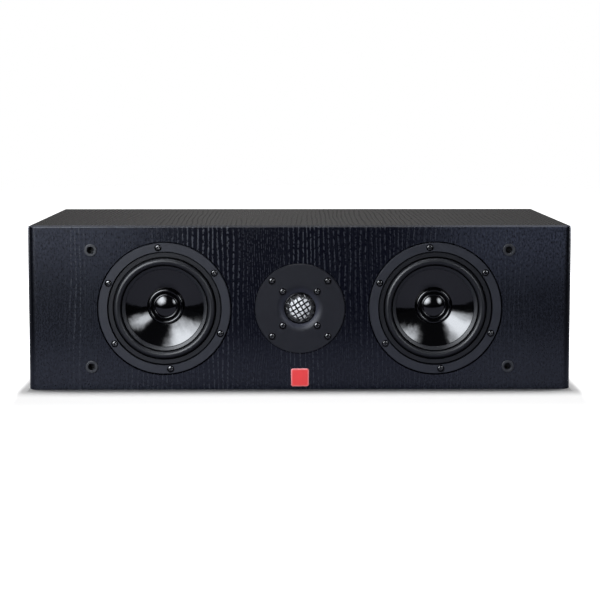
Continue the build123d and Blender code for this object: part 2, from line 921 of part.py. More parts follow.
def port_tube(x):
    """Bass-reflex tube with a flared mouth and a flange on the back panel."""
    origin = (x, back_y, middle_z)
    mouth = port_radius + port_flare
    flare_start = port_flange_thickness - port_flare
    collar = port_radius + port_collar
    tube = port_radius + port_wall
    corner = (mouth - port_flare * sqrt(0.5), flare_start + port_flare * sqrt(0.5))
    with BuildPart() as port:
        with BuildSketch(section_plane(*origin)):
            with BuildLine():
                Line((port_radius, -port_length), (port_radius, flare_start))
                ThreePointArc((port_radius, flare_start), corner, (mouth, port_flange_thickness))
                Polyline(
                    (mouth, port_flange_thickness),
                    (mouth + port_lip, port_flange_thickness),
                    (mouth + port_lip, 0),
                    (collar, 0),
                    (collar, flare_start - port_collar),
                    (tube, flare_start - 2 * port_collar),
                    (tube, -port_length),
                    (port_radius, -port_length),
                )
            make_face()
        revolve(axis=Axis(origin, (0, 1, 0)))
    return port.part


def terminal_cup():
    """Recessed cup with a flange on the back panel and a boss under each post."""
    face = rear_plane(0, back_y + cup_flange_thickness, middle_z)
    places = [(-x, 0) for x in posts.values()]
    with BuildPart() as cup:
        with BuildSketch(face):
            RectangleRounded(cup_width + 2 * cup_flange_width, cup_height + 2 * cup_flange_width, cup_corner)
        extrude(amount=-cup_flange_thickness)
        with BuildSketch(face):
            RectangleRounded(cup_width, cup_height, cup_corner)
        extrude(amount=-cup_depth)
        with BuildSketch(face):
            RectangleRounded(cup_width - 2 * cup_wall, cup_height - 2 * cup_wall, cup_corner - cup_wall)
        extrude(amount=-(cup_depth - cup_floor), mode=Mode.SUBTRACT)
        with BuildSketch(rear_plane(0, back_y + cup_face, middle_z)):
            with Locations(*places):
                Circle(post_boss_radius)
        extrude(amount=post_boss_height)
        with BuildSketch(rear_plane(0, back_y + boss_face, middle_z)):
            with Locations(*places):
                Circle(post_radius + thread_clearance)
        extrude(amount=-(post_boss_height + cup_floor), mode=Mode.SUBTRACT)
        with BuildSketch(face):
            with Locations(*cup_screws):
                Circle(cup_screw_radius + thread_clearance)
        extrude(amount=-cup_flange_thickness, mode=Mode.SUBTRACT)
    return cup.part


def binding_post(x):
    """Brass stud with a shoulder on the cup, a tail for the lock nuts and a socket for a plug."""
    bore = post_bore / 2
    outline = [
        (0, cup_back - post_tail),
        (post_radius, cup_back - post_tail),
        (post_radius, boss_face),
        (post_shoulder_radius, boss_face),
        (post_shoulder_radius, shoulder_face),
        (post_radius, shoulder_face),
        (post_radius, post_tip),
        (bore, post_tip),
        (bore, post_tip - post_bore_depth),
        (0, post_tip - post_bore_depth),
    ]
    return turned(x, back_y, middle_z, outline)


def post_nut(x):
    """Brass nut moulded into the knob."""
    inner = post_radius + thread_clearance
    outline = [
        (inner, shoulder_face),
        (nut_radius, shoulder_face),
        (nut_radius, post_tip),
        (inner, post_tip),
    ]
    return turned(x, back_y, middle_z, outline)


def post_knob(x):
    """Fluted shell of the clamping knob."""
    base = rear_plane(x, back_y + shoulder_face, middle_z)
    with BuildPart() as knob:
        with BuildSketch(base):
            Circle(knob_radius)
            Circle(nut_radius + glue_gap, mode=Mode.SUBTRACT)
            with PolarLocations(knob_radius, knob_flutes):
                Circle(flute_radius, mode=Mode.SUBTRACT)
        extrude(amount=post_tip - shoulder_face)
    return knob.part


def lock_nuts():
    """Two nuts on the tail of each post, with the board between them."""
    places = [(-x, 0) for x in posts.values()]
    with BuildPart() as nuts:
        for height in (cup_back, board_back):
            with BuildSketch(rear_plane(0, back_y + height, middle_z)):
                with Locations(*places):
                    RegularPolygon(lock_nut_radius, 6)
                    Circle(post_radius + thread_clearance, mode=Mode.SUBTRACT)
            extrude(amount=-lock_nut_thickness)
    return nuts.part


def crossover_board():
    """Circuit board held on the tails of the posts."""
    with BuildPart() as board:
        with BuildSketch(rear_plane(0, back_y + board_face, middle_z)):
            Rectangle(board_width, board_height)
            with Locations(*[(-x, 0) for x in posts.values()]):
                Circle(post_radius + thread_clearance, mode=Mode.SUBTRACT)
        extrude(amount=-board_thickness)
    return board.part


def crossover_inductors():
    """Two wound coils standing on the board."""
    places = [(side * (board_width / 2 - inductor_radius), -inductor_radius - lock_nut_radius) for side in (-1, 1)]
    with BuildPart() as coils:
        with BuildSketch(front_plane(0, back_y + board_back, middle_z)):
            with Locations(*places):
                Circle(inductor_radius)
                Circle(inductor_hole_radius, mode=Mode.SUBTRACT)
        extrude(amount=inductor_length)
    return coils.part


def crossover_capacitors():
    """Two capacitors lying on the board above the posts."""
    rise = lock_nut_radius + capacitor_radius + joint_clearance
    with BuildPart() as capacitors:
        for side in (-1, 1):
            seat = (side * wire_spread, back_y + board_back - capacitor_radius, middle_z + rise)
            with BuildSketch(Plane(origin=seat, x_dir=(0, 1, 0), z_dir=(side, 0, 0))):
                Circle(capacitor_radius)
            extrude(amount=capacitor_length)
    return capacitors.part


def crossover_resistors():
    """Two ceramic power resistors along the top of the board."""
    places = [(side * (resistor_length / 2 + wire_spread), board_height / 2 - resistor_side / 2) for side in (-1, 1)]
    with BuildPart() as resistors:
        with BuildSketch(front_plane(0, back_y + board_back, middle_z)):
            with Locations(*places):
                Rectangle(resistor_length, resistor_side)
        extrude(amount=resistor_side)
    return resistors.part


def internal_wiring():
    """Pair of leads from the board to each driver."""
    board_y = back_y + board_back
    board_edge = board_width / 2 - wire_spread
    strip_y = front_y + spider_depth + basket_wall + strip_length
    routes = []
    for rise in (-1, 1):
        lead_z = middle_z + rise * wire_spread / 2
        for side in (-1, 1):
            strip_x = side * (woofer_offset - basket_cup_radius - glue_gap - strip_thickness - wire_radius - glue_gap)
            routes.append(
                [
                    (side * board_edge, board_y, lead_z),
                    (side * board_edge, board_y - 4 * wire_bend, lead_z),
                    (strip_x, strip_y + 4 * wire_bend, lead_z),
                    (strip_x, strip_y - strip_length / 2, lead_z),
                ]
            )
        yoke_y = plate_y + tweeter_magnet_back + tweeter_yoke_thickness
        routes.append([(rise * wire_spread / 2, board_y, middle_z), (rise * wire_spread / 2, yoke_y, middle_z)])
    with BuildPart() as wiring:
        for route in routes:
            with BuildLine() as path:
                if len(route) > 2:
                    FilletPolyline(*route, radius=wire_bend)
                else:
                    Line(*route)
            with BuildSketch(Plane(origin=path.line @ 0, z_dir=path.line % 0)):
                Circle(wire_radius)
            sweep(path=path.line)
    return wiring.part


os.makedirs("parts", exist_ok=True)

# Cabinet pieces
save(front_baffle(), "front_baffle")
top = Plane(origin=(0, baffle_back_y, cabinet_height), x_dir=(1, 0, 0), z_dir=(0, -1, 0))
bottom = Plane(origin=(0, baffle_back_y, 0), x_dir=(-1, 0, 0), z_dir=(0, -1, 0))
left = Plane(origin=(-cabinet_width / 2, baffle_back_y, middle_z), x_dir=(0, 0, 1), z_dir=(0, -1, 0))
right = Plane(origin=(cabinet_width / 2, baffle_back_y, middle_z), x_dir=(0, 0, -1), z_dir=(0, -1, 0))
save(wrap_panel(top, cabinet_width), "top_panel")
save(wrap_panel(bottom, cabinet_width), "bottom_panel")
save(wrap_panel(left, cabinet_height), "left_side_panel")
save(wrap_panel(right, cabinet_height), "right_side_panel")
save(back_panel(), "back_panel")
save(damping_pads(), "damping_pads")
save(badge(), "badge")
save(grille_sockets(), "grille_sockets")

# Pieces that come in pairs, left and right
for name, side in sides.items():
    centre = side * woofer_offset
    save(brace(side * brace_offset), f"{name}_brace")
    save(port_tube(side * port_offset), f"{name}_port_tube")
    save(woofer_frame(centre), f"{name}_woofer_frame")
    save(woofer_surround(centre), f"{name}_woofer_surround")
    save(woofer_cone(centre), f"{name}_woofer_cone")
    save(woofer_dust_cap(centre), f"{name}_woofer_dust_cap")
    save(woofer_voice_coil(centre), f"{name}_woofer_voice_coil")
    save(woofer_spider(centre), f"{name}_woofer_spider")
    save(woofer_top_plate(centre), f"{name}_woofer_top_plate")
    save(woofer_magnet(centre), f"{name}_woofer_magnet")
    save(woofer_pole_yoke(centre), f"{name}_woofer_pole_yoke")
    save(woofer_terminal_strip(centre, side), f"{name}_woofer_terminal_strip")
    head_plane = front_plane(centre, front_y + counterbore_depth - head_height, middle_z)
    screws = screw_set(head_plane, woofer_screws, (head_radius, head_height), (shank_radius, shank_length))
    save(screws, f"{name}_woofer_screws")

# Tweeter pieces
save(tweeter_faceplate(), "tweeter_faceplate")
save(tweeter_mesh(), "tweeter_mesh")
save(tweeter_dome(), "tweeter_dome")
save(tweeter_surround(), "tweeter_surround")
save(tweeter_voice_coil(), "tweeter_voice_coil")
save(tweeter_top_plate(), "tweeter_top_plate")
save(tweeter_magnet(), "tweeter_magnet")
save(tweeter_pole_yoke(), "tweeter_pole_yoke")
plate_heads = front_plane(0, plate_y + counterbore_depth - head_height, middle_z)
motor_shank = tweeter_plate_back - counterbore_depth
save(
    screw_set(plate_heads, mounting_screws, (head_radius, head_height), (shank_radius, shank_length)),
    "tweeter_mounting_screws",
)
save(
    screw_set(plate_heads, motor_screws, (head_radius, head_height), (shank_radius, motor_shank)),
    "tweeter_motor_screws",
)

# Terminal pieces
save(terminal_cup(), "terminal_cup")
cup_heads = rear_plane(0, back_y + cup_flange_thickness + cup_screw_head_height, middle_z)
save(
    screw_set(
        cup_heads,
        cup_screws,
        (cup_screw_head_radius, cup_screw_head_height),
        (cup_screw_radius, cup_screw_length),
    ),
    "terminal_cup_screws",
)
for name, x in posts.items():
    save(binding_post(x), f"{name}_binding_post")
    save(post_nut(x), f"{name}_post_nut")
    save(post_knob(x), f"{name}_post_knob")
save(lock_nuts(), "lock_nuts")

# Crossover pieces
save(crossover_board(), "crossover_board")
save(crossover_inductors(), "crossover_inductors")
save(crossover_capacitors(), "crossover_capacitors")
save(crossover_resistors(), "crossover_resistors")
save(internal_wiring(), "internal_wiring")
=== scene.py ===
"""Center channel speaker: finishes, turned and woven pieces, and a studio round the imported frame."""
from math import atan, cos, hypot, pi, radians, sin, sqrt, tan

import bmesh
import bpy
from bpy.props import FloatProperty, FloatVectorProperty, IntProperty, PointerProperty
from bpy.types import Operator, Panel, PropertyGroup
from mathutils import Matrix, Vector


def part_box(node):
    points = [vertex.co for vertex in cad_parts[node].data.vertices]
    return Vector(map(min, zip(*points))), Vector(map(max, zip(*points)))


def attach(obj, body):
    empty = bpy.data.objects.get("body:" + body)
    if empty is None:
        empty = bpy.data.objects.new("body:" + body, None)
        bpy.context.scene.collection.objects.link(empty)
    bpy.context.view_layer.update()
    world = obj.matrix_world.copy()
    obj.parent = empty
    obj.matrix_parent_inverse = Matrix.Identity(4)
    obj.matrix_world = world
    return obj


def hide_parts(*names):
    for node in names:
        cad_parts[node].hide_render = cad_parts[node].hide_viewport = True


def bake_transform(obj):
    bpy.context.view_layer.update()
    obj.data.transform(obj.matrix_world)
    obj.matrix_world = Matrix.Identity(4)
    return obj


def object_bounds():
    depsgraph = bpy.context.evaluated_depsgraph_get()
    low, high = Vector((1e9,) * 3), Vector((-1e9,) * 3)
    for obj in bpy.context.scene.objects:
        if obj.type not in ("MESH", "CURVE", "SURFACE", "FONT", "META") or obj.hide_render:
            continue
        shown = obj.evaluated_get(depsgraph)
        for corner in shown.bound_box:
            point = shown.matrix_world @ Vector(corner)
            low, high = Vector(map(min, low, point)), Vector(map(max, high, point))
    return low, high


bl_info = {
    "name": "Center channel speaker",
    "version": (1, 0, 0),
    "blender": (4, 5, 0),
    "location": "View3D > Sidebar > Speaker",
    "description": "Dresses the speaker's frame with finishes and fine pieces",
    "category": "Object",
}

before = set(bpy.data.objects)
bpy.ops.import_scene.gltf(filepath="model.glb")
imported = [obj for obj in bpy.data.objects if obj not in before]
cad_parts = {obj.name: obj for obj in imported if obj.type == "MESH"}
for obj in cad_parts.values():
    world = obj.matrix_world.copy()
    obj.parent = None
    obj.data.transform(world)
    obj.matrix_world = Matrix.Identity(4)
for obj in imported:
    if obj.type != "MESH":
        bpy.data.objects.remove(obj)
cad_low, cad_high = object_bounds()
SIDES = ("left", "right")
WHITE, BLACK = (1.0, 1.0, 1.0), (0.0, 0.0, 0.0)
# Radius of the shade round a sunk screw, and how far it fades.
WELL_RADIUS, WELL_BLUR = 0.0039, 0.0005
# How far a coat's roughness varies.
ROUGH_SPREAD = 0.08
# Angle past which an edge of a CAD node stays sharp, in degrees.
CAD_CREASE = 30.0
# A radius below this is a point on the axis.
TINY = 1e-7


def number(name, description, default, **kind):
    """A number, with the unit and the subtype of its kind."""
    return FloatProperty(name=name, description=description, default=default, **kind)


def length(name, description, default):
    """A size in metres."""
    return number(name, description, default, precision=5, unit="LENGTH", subtype="DISTANCE")


def angle(name, description, default):
    """An angle, given here in degrees."""
    return number(name, description, radians(default), unit="ROTATION", subtype="ANGLE")


def power(name, description, default):
    """The power of a lamp in watts."""
    return number(name, description, default, unit="POWER")


def colour(name, description, default):
    """A linear colour."""
    words = {"name": name, "description": description}
    return FloatVectorProperty(**words, default=default, size=3, min=0, max=1, subtype="COLOR")


class CabinetLook(PropertyGroup):
    """Finish of the wrapped cabinet and its small fittings."""

    ash_ground: colour("Ash ground", "Black ash vinyl between the grain lines", (0.0011, 0.0013, 0.0038))
    ash_line: colour("Ash line", "Dotted grain lines of the vinyl", (0.0250, 0.0272, 0.0345))
    # Its paleness is partly painted sheen on the front's ends; the pebbled figure is the vinyl's own.
    ash_end: colour("Ash end", "Paler, pebbled figure towards the ends", (0.0066, 0.0073, 0.0105))
    rear_end: colour("Rear end", "The same figure on the sides and the back", (0.0135, 0.0140, 0.0158))
    # The top and the bottom share this ground, far paler and warmer than the front's: the same vinyl with
    # painted sheen for the light that the top catches.
    top_sheen_ground: colour("Top ground", "The warmer vinyl of the top and the bottom", (0.0256, 0.0232, 0.0212))
    top_line: colour("Top line", "Dark grain lines of the top", (0.0070, 0.0066, 0.0066))
    line_spacing: length("Line spacing", "Distance between two grain lines", 0.0058)
    fade_start: length("Fade start", "Distance from the middle at which the grain begins to fade", 0.10)
    fade_end: length("Fade end", "Distance from the middle at which the ends' figure is full", 0.25)
    # The rounded ends from this distance outwards, and the gap round each woofer, are darkened with painted
    # shade.
    end_shade_start: length("End shade start", "Distance from the middle at which the rounded ends turn dark", 0.3045)
    gap_radius: length("Gap radius", "Radius of the dark gap round each woofer", 0.07715)
    gap_width: length("Gap width", "Width of that gap", 0.0014)
    pore_depth: length("Pore depth", "Depth of the embossed pores", 0.00022)
    badge_red: colour("Badge red", "Enamel of the bare badge", (0.60, 0.037, 0.036))
    badge_rim: length("Badge rim", "Width of the badge's rounded edge", 0.0011)
    badge_corner: length("Badge corner", "Radius of the badge's corners", 0.0026)
    badge_crown: length("Badge crown", "Rise of the badge's middle", 0.00012)
    socket_grey: colour("Socket grey", "Plastic of the grille sockets", (0.014, 0.015, 0.018))


class WooferLook(PropertyGroup):
    """Sizes and finishes of the two woofers."""

    coat: colour("Frame coat", "Satin coat of the cast frames", (0.0136, 0.0145, 0.0192))
    rubber: colour("Rubber", "Surrounds", (0.0052, 0.0055, 0.0072))
    gloss: colour("Cone gloss", "Lacquered cones and dust caps", (0.0010, 0.0010, 0.0013))
    seat_radius: length("Seat radius", "Inside of the flange, round the surround's foot", 0.0662)
    foot_radius: length("Foot radius", "Outside of the surround's flat foot", 0.0650)
    roll_outer: length("Roll outside", "Outer radius of the half roll", 0.0586)
    roll_inner: length("Roll inside", "Inner radius of the half roll", 0.0504)
    lip_outer: length("Lip outside", "Outer radius of the lip that is glued to the cone", 0.0496)
    lip_inner: length("Lip inside", "Where the cone comes out from under the lip", 0.0452)
    lip_rise: length("Lip rise", "Height of the lip's face over the cone", 0.0013)
    roll_crown: length("Roll crown", "How far the roll stands in front of the flange", 0.0014)
    face_depth: length("Surround depth", "Depth of the surround's face behind the flange", 0.0022)
    seat_depth: length("Seat depth", "Depth of the seat that the surround is glued to", 0.0032)
    cone_radius: length("Cone radius", "Rim of the cone under the lip", 0.0493)
    neck_radius: length("Neck radius", "Inside of the cone's neck", 0.01305)
    cone_depth: length("Cone depth", "From the rim of the cone to its neck", 0.0203)
    cone_bow: length("Cone bow", "How far the flared cone bows forward", 0.0010)
    cone_wall: length("Cone wall", "Thickness of the cone", 0.0008)
    neck_length: length("Neck length", "Straight neck on the coil former", 0.003)
    cap_radius: length("Cap radius", "Rim of the dust cap", 0.0204)
    cap_ring: length("Cap ring", "Inside of the dust cap's outer bead", 0.0170)
    cap_bead: length("Cap bead", "Outside of the dust cap's inner bead", 0.0145)
    cap_dome: length("Cap dome", "Radius of the dust cap's dome", 0.0124)
    cap_height: length("Cap height", "Rise of the dust cap's dome", 0.0033)
    spider_radius: length("Spider radius", "Rim of the spider on its seat", 0.04285)
    spider_start: length("Spider start", "Inside of the spider's waves", 0.01605)
    spider_end: length("Spider end", "Outside of the spider's waves", 0.0350)
    spider_depth: length("Spider depth", "Depth of the spider's back behind the flange", 0.0310)
    spider_wave: length("Spider wave", "Height of the spider's waves", 0.0015)
    spider_thickness: length("Spider thickness", "Thickness of the pressed cloth", 0.0008)
    spider_waves: IntProperty(name="Waves", description="Waves in each spider", default=3, min=1, max=9)
    screw_head: length("Screw head", "Radius of a screw's head", 0.0034)
    screw_rise: length("Screw rise", "Height of a screw's head", 0.0022)
    screw_shank: length("Screw shank", "Radius of a screw's shank", 0.0019)
    screw_circle: length("Screw circle", "Radius of the circle of screws", 0.0710)
    screw_start: angle("Screw start", "Angle of the first screw", 35.5)
    screw_count: IntProperty(name="Screws", description="Screws in each woofer", default=6, min=3, max=12)


class TweeterLook(PropertyGroup):
    """Sizes and finishes of the tweeter."""

    coat: colour("Plate coat", "Fine satin coat of the face plate", (0.0066, 0.0069, 0.0098))
    wire_black: colour("Wire black", "Lacquer on the wire mesh", (0.006, 0.006, 0.007))
    dome_silver: colour("Dome silver", "Metal dome", (0.80, 0.80, 0.81))
    mesh_foot: length("Mesh foot", "Radius where the woven cap meets its rim", 0.0174)
    mesh_height: length("Mesh height", "Rise of the woven cap", 0.0080)
    mesh_depth: length("Mesh depth", "Depth of the cap's rim behind the plate", 0.0036)
    wire_pitch: length("Wire pitch", "Distance between two wires", 0.0051)
    wire_width: length("Wire width", "Width of a wire", 0.0018)
    wire_sink: length("Wire sink", "How far behind the cap's face the wires run", 0.00045)
    wire_turn: angle("Wire turn", "Turn of the weave", 32.0)
    # The plate is painted lighter between these radii, as painted light in its flare.
    flare_start: length("Flare start", "Inside of the plate's flare round the mesh", 0.0185)
    flare_end: length("Flare end", "Outside of that flare", 0.0265)
    mounting: length("Mounting screws", "Half the square of the mounting screws", 0.0323)
    motor: length("Motor screws", "Half the square of the screws that hold the motor", 0.0199)


class StageLook(PropertyGroup):
    """Camera and lamps of the studio."""

    camera_height: length("Camera height", "Height of the lens above the floor", 0.3282)
    camera_distance: length("Camera distance", "From the front of the cabinet to the lens", 1.4859)
    camera_aside: length("Camera aside", "How far the lens stands to the left", 0.012)
    camera_tilt: angle("Camera tilt", "How far the camera looks down", 4.2)
    focal: number("Lens", "Focal length in millimetres", 77.7, unit="CAMERA")
    sensor: number("Sensor", "Width of the sensor in millimetres", 36.0, unit="CAMERA")
    shift: number("Shift", "Vertical shift of the lens", -0.164)
    left_power: power("Left softbox", "Power of the large softbox on the left", 82.0)
    right_power: power("Right softbox", "Power of the narrow softbox on the right", 13.8)
    top_power: power("Top lamp", "Power of the strip of light overhead", 108.0)
    back_power: power("Back sheet", "Power of the lit sheet behind the speaker", 2.0)
    card_power: power("Overhead card", "Power of the card above and in front of the speaker", 24.0)
    side_power: power("Side lamps", "Power of each lamp beside and behind the speaker", 60.0)
    floor_glow: number("Floor glow", "Light of the floor that no shadow takes", 0.18)
    floor_radius: length("Floor radius", "Where the pale floor has faded away", 4.0)
    shadow_near: length("Shadow near", "Distance at which the cabinet's shadow begins to fade", 0.05)
    shadow_far: length("Shadow far", "Distance at which that shadow has gone", 0.20)
    shadow_haste: number("Shadow haste", "How much sooner it fades beside the cabinet", 12.0)
    table_edge: length("Table edge", "How far ahead the floor stops throwing light back", 0.25)
    table_slant: number("Table slant", "How much nearer that edge is on the left", 0.12)


class Value:
    """A socket in a shader's nodes, whose sums and products become Math nodes."""

    def __init__(self, tree, socket=None):
        self.tree = tree
        self.socket = socket

    def node(self, kind, settings=None, sockets=None, out=0):
        """Adds a node, sets its settings and then its sockets, and returns one of its outputs."""
        made = self.tree.nodes.new(kind)
        for key, setting in (settings or {}).items():
            setattr(made, key, setting)
        for key, given in (sockets or {}).items():
            if isinstance(given, Value):
                self.tree.links.new(given.socket, made.inputs[key])
            else:
                made.inputs[key].default_value = given
        return Value(self.tree, made.outputs[out])

    def math(self, operation, first, second=0.0):
        """A Math node."""
        return self.node("ShaderNodeMath", {"operation": operation}, {0: first, 1: second})

    def __add__(self, other):
        return self.math("ADD", self, other)

    def __sub__(self, other):
        return self.math("SUBTRACT", self, other)

    def __rsub__(self, other):
        return self.math("SUBTRACT", other, self)

    def __mul__(self, other):
        return self.math("MULTIPLY", self, other)

    __radd__ = __add__
    __rmul__ = __mul__

    def size(self):
        """This without its sign."""
        return self.math("ABSOLUTE", self)

    def most(self, other):
        """The larger of this and another."""
        return self.math("MAXIMUM", self, other)

    def smooth(self, start, end, low=0.0, high=1.0):
        """From low to high as this goes from start to end."""
        ends = {1: start, 2: end, 3: low, 4: high}
        return self.node("ShaderNodeMapRange", {"interpolation_type": "SMOOTHSTEP"}, {0: self, **ends})

    def between(self, low, high):
        """A colour from low to high as this goes from 0 to 1."""
        ends = [tone if isinstance(tone, Value) else (*tone, 1.0) for tone in (low, high)]
        return self.node("ShaderNodeMix", {"data_type": "RGBA"}, {0: self, 6: ends[0], 7: ends[1]}, out=2)

    def vector(self, operation, sockets, out=0):
        """A Vector Math node whose first input is these coordinates."""
        return self.node("ShaderNodeVectorMath", {"operation": operation}, {0: self, **sockets}, out)

    def stretched(self, x, y, z):
        """These coordinates with each axis scaled."""
        return self.vector("MULTIPLY", {1: (x, y, z)})

    def shifted(self, by, x, y, z):
        """These coordinates moved along an axis by a value."""
        step = self.node("ShaderNodeVectorMath", {"operation": "SCALE"}, {0: (x, y, z), "Scale": by})
        return self.vector("ADD", {1: step})

    def distance(self, point):
        """Distance from these coordinates to a point."""
        return self.vector("DISTANCE", {1: point}, out=1)

    def from_axis(self, point):
        """Distance from these coordinates to the axis along Y through a point."""
        return self.stretched(1.0, 0.0, 1.0).distance((point.x, 0.0, point.z))

    def axis(self, name):
        """One of these coordinates."""
        return self.node("ShaderNodeSeparateXYZ", None, {0: self}, out="XYZ".index(name))

    def noise(self, scale, detail=2.0, roughness=0.5):
        """Soft noise on these coordinates."""
        sockets = {"Vector": self, "Scale": scale, "Detail": detail, "Roughness": roughness}
        return self.node("ShaderNodeTexNoise", None, sockets)

    def bands(self, scale, direction, distortion=0.0):
        """Even bands across one direction."""
        sockets = {"Vector": self, "Scale": scale, "Distortion": distortion, "Detail": 1.0}
        return self.node("ShaderNodeTexWave", {"bands_direction": direction}, sockets)


class Finish:
    """A material with one shader: constants are set on it, and what varies is linked to it."""

    def __init__(self, name, **constants):
        self.material = bpy.data.materials.new(name)
        self.material.use_nodes = True
        self.tree = self.material.node_tree
        self.shader = self.tree.nodes["Principled BSDF"]
        for key, value in constants.items():
            self.shader.inputs[key.replace("_", " ")].default_value = value
        self.place = Value(self.tree).node("ShaderNodeTexCoord", out=3)

    def varies(self, **sockets):
        """Links values that vary over the surface."""
        for key, value in sockets.items():
            self.tree.links.new(value.socket, self.shader.inputs[key.replace("_", " ")])
        return self

    def relief(self, height, depth, strength=1.0):
        """Bumps of a depth in metres."""
        sockets = {"Height": height, "Distance": depth, "Strength": strength}
        return self.varies(Normal=height.node("ShaderNodeBump", None, sockets))


def scaled(tone, share):
    """A colour times a number."""
    return [share * c for c in tone]


def shades(tone, spread):
    """A darker and a lighter tone of one colour."""
    return scaled(tone, 1 - spread), scaled(tone, 1 + spread)


def patchy(place, grain, dark, light):
    """A coat's colour from broad patches and fine grain, and the patches and the grain themselves."""
    broad, fine = place.noise(grain / 14, 3.0), place.noise(grain, 2.0, 0.6)
    return (broad * 0.55 + fine * 0.45).smooth(0.32, 0.68).between(dark, light), broad, fine


def mottled(name, dark, light, grain, rough, relief, **constants):
    """A surface with broad patches and fine grain, for coats, mouldings and cast parts."""
    made = Finish(name, **constants)
    coat, broad, fine = patchy(made.place, grain, dark, light)
    made.varies(Base_Color=coat, Roughness=broad * ROUGH_SPREAD + (rough - ROUGH_SPREAD / 2))
    return made.relief(fine, relief).material


def satin(made, tone, grain, rough, relief, dark, flare=None):
    """A satin coat with painted shade where it is dark, and painted light in the flare when one is given."""
    coat, broad, fine = patchy(made.place, grain, *shades(tone, 0.12))
    if flare is not None:
        coat = flare.between(coat, scaled(tone, 3.2))
    coat = dark.between(coat, scaled(tone, 0.1))
    made.varies(Base_Color=coat, Roughness=broad * ROUGH_SPREAD + rough, Metallic=dark)
    return made.relief(fine, relief).material


def shaded_rings(place, rings):
    """Where a point lies in one of the rings of painted shade, of a radius and a width, round both woofers.
    """
    reach = place.vector("ABSOLUTE", {}).from_axis(woofer_face("right"))
    dark = reach * 0.0
    for radius, width in rings:
        off = (reach - radius).size()
        dark = dark.most(off.smooth(width * 0.32, width * 0.62, 0.94, 0.0))
    return dark


def wells(place, spots):
    """Where a point lies in the shade round one of the sunk screws."""
    flat = place.stretched(1.0, 0.0, 1.0)
    dark = place.axis("X") * 0.0
    for x, z in spots:
        reach = flat.distance((x, 0.0, z))
        dark = dark.most(reach.smooth(WELL_RADIUS, WELL_RADIUS + WELL_BLUR, 0.92, 0.0))
    return dark


def shaded_ends_and_gaps(place, look):
    """Painted shade on the front: on its rounded ends, weaker towards the bottom, and in the gaps round the
    woofers.
    """
    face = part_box("front_baffle")[0].y
    rounding = place.axis("Y").smooth(face + 0.003, face + 0.007, 1.0, 0.0)
    ends = place.axis("X").size().smooth(look.end_shade_start, look.end_shade_start + 0.006, 0.0, 0.72)
    end_shade = ends * rounding * place.axis("Z").smooth(0.0, 0.07, 0.3, 1.0)
    return end_shade.most(shaded_rings(place, [(look.gap_radius, look.gap_width)]))


def ash_vinyl(name, look, across, along, ground, line, end, fade, shadowed=False):
    """Black ash vinyl: dotted grain lines along one axis, in streaks that fade towards the pebbled ends;
    shadowed, it also carries painted shade and painted sheen.
    """
    made = Finish(name, IOR=1.5, Specular_IOR_Level=0.34)
    place, aside, height = made.place, made.place.axis("X"), made.place.axis("Z")
    drift = place.stretched(*[0.22 if axis == along else 1.0 for axis in "XYZ"])
    dashes = place.stretched(*[0.60 if axis == along else 1.0 for axis in "XYZ"])
    wander = (drift.noise(10.0, 2.0) - 0.5) * 0.030 + (drift.noise(55.0, 1.0) - 0.5) * 0.007
    grain = place.shifted(wander, *[1.0 if axis == across else 0.0 for axis in "XYZ"])
    wide = grain.bands(0.314 / look.line_spacing, across).smooth(0.62, 1.0)
    narrow = grain.bands(0.85 / look.line_spacing, across).smooth(0.50, 0.95)
    pores = dashes.noise(430.0, 2.0, 0.6).smooth(0.38, 0.60)
    streaks = drift.noise(14.0, 2.0).smooth(0.32, 0.56)
    pebble = dashes.noise(560.0, 3.0, 0.65)
    away = (aside.size() + wander).smooth(look.fade_start, look.fade_end)
    strength = 1 - away * fade
    if shadowed:
        strength = strength * height.smooth(0.0, 0.16, 0.55, 1.0)
        strength = strength * aside.size().smooth(0.258, 0.276, 1.0, 0.15)
        streaks = streaks * aside.smooth(-0.02, 0.05, 1.0, 0.45)
    mask = (wide * streaks + narrow * (1 - streaks) * 0.42) * pores * strength
    # Towards the ends the tone turns to the end colour; on the front, where that is paler, the paleness is
    # partly painted sheen.
    pale = pebble.smooth(0.25, 0.75).between(*shades(end, 0.50))
    tone = away.between(pebble.between(*shades(ground, 0.60)), pale)
    rough = pebble * 0.08 + mask * 0.16 + 0.18
    if shadowed:
        # Painted sheen and painted reflection: the upper ends, more so on the right, are paler where lamps
        # would gleam on the vinyl, and a strip along the bottom is paler where the floor would be reflected.
        wear_and_sheen = away * height.smooth(0.10, 0.18, 0.0, 0.55) * aside.smooth(0.0, 0.2, 1.0, 1.5)
        wear_and_sheen = wear_and_sheen + height.smooth(0.02, 0.09, 0.20, 0.0)
        coarse = dashes.noise(500.0, 2.0, 0.6).smooth(0.26, 0.74)
        tone = wear_and_sheen.between(tone, coarse.between(*shades(scaled(end, 2.9), 0.75)))
        rough = rough + height.smooth(cad_high.z - 0.0006, cad_high.z - 0.0002, 0.0, 0.5)
    vinyl = mask.between(tone, line)
    # Painted shade on the rounded ends and in the gaps round the woofers.
    if shadowed:
        dark = shaded_ends_and_gaps(place, look)
        vinyl = dark.between(vinyl, scaled(look.ash_ground, 0.5))
        made.varies(Metallic=dark)
    made.varies(Base_Color=vinyl, Roughness=rough)
    return made.relief(mask * 0.8 + pebble * (away * 0.26 + 0.06), look.pore_depth, 0.8).material


def ringed(name, tone, grain, rough, relief, rings, spots=(), **constants):
    """A satin coat on both woofers, with painted shade in rings and in wells round the screws."""
    made = Finish(name, **constants)
    dark = shaded_rings(made.place, rings)
    if spots:
        dark = dark.most(wells(made.place, spots))
    return satin(made, tone, grain, rough, relief, dark)


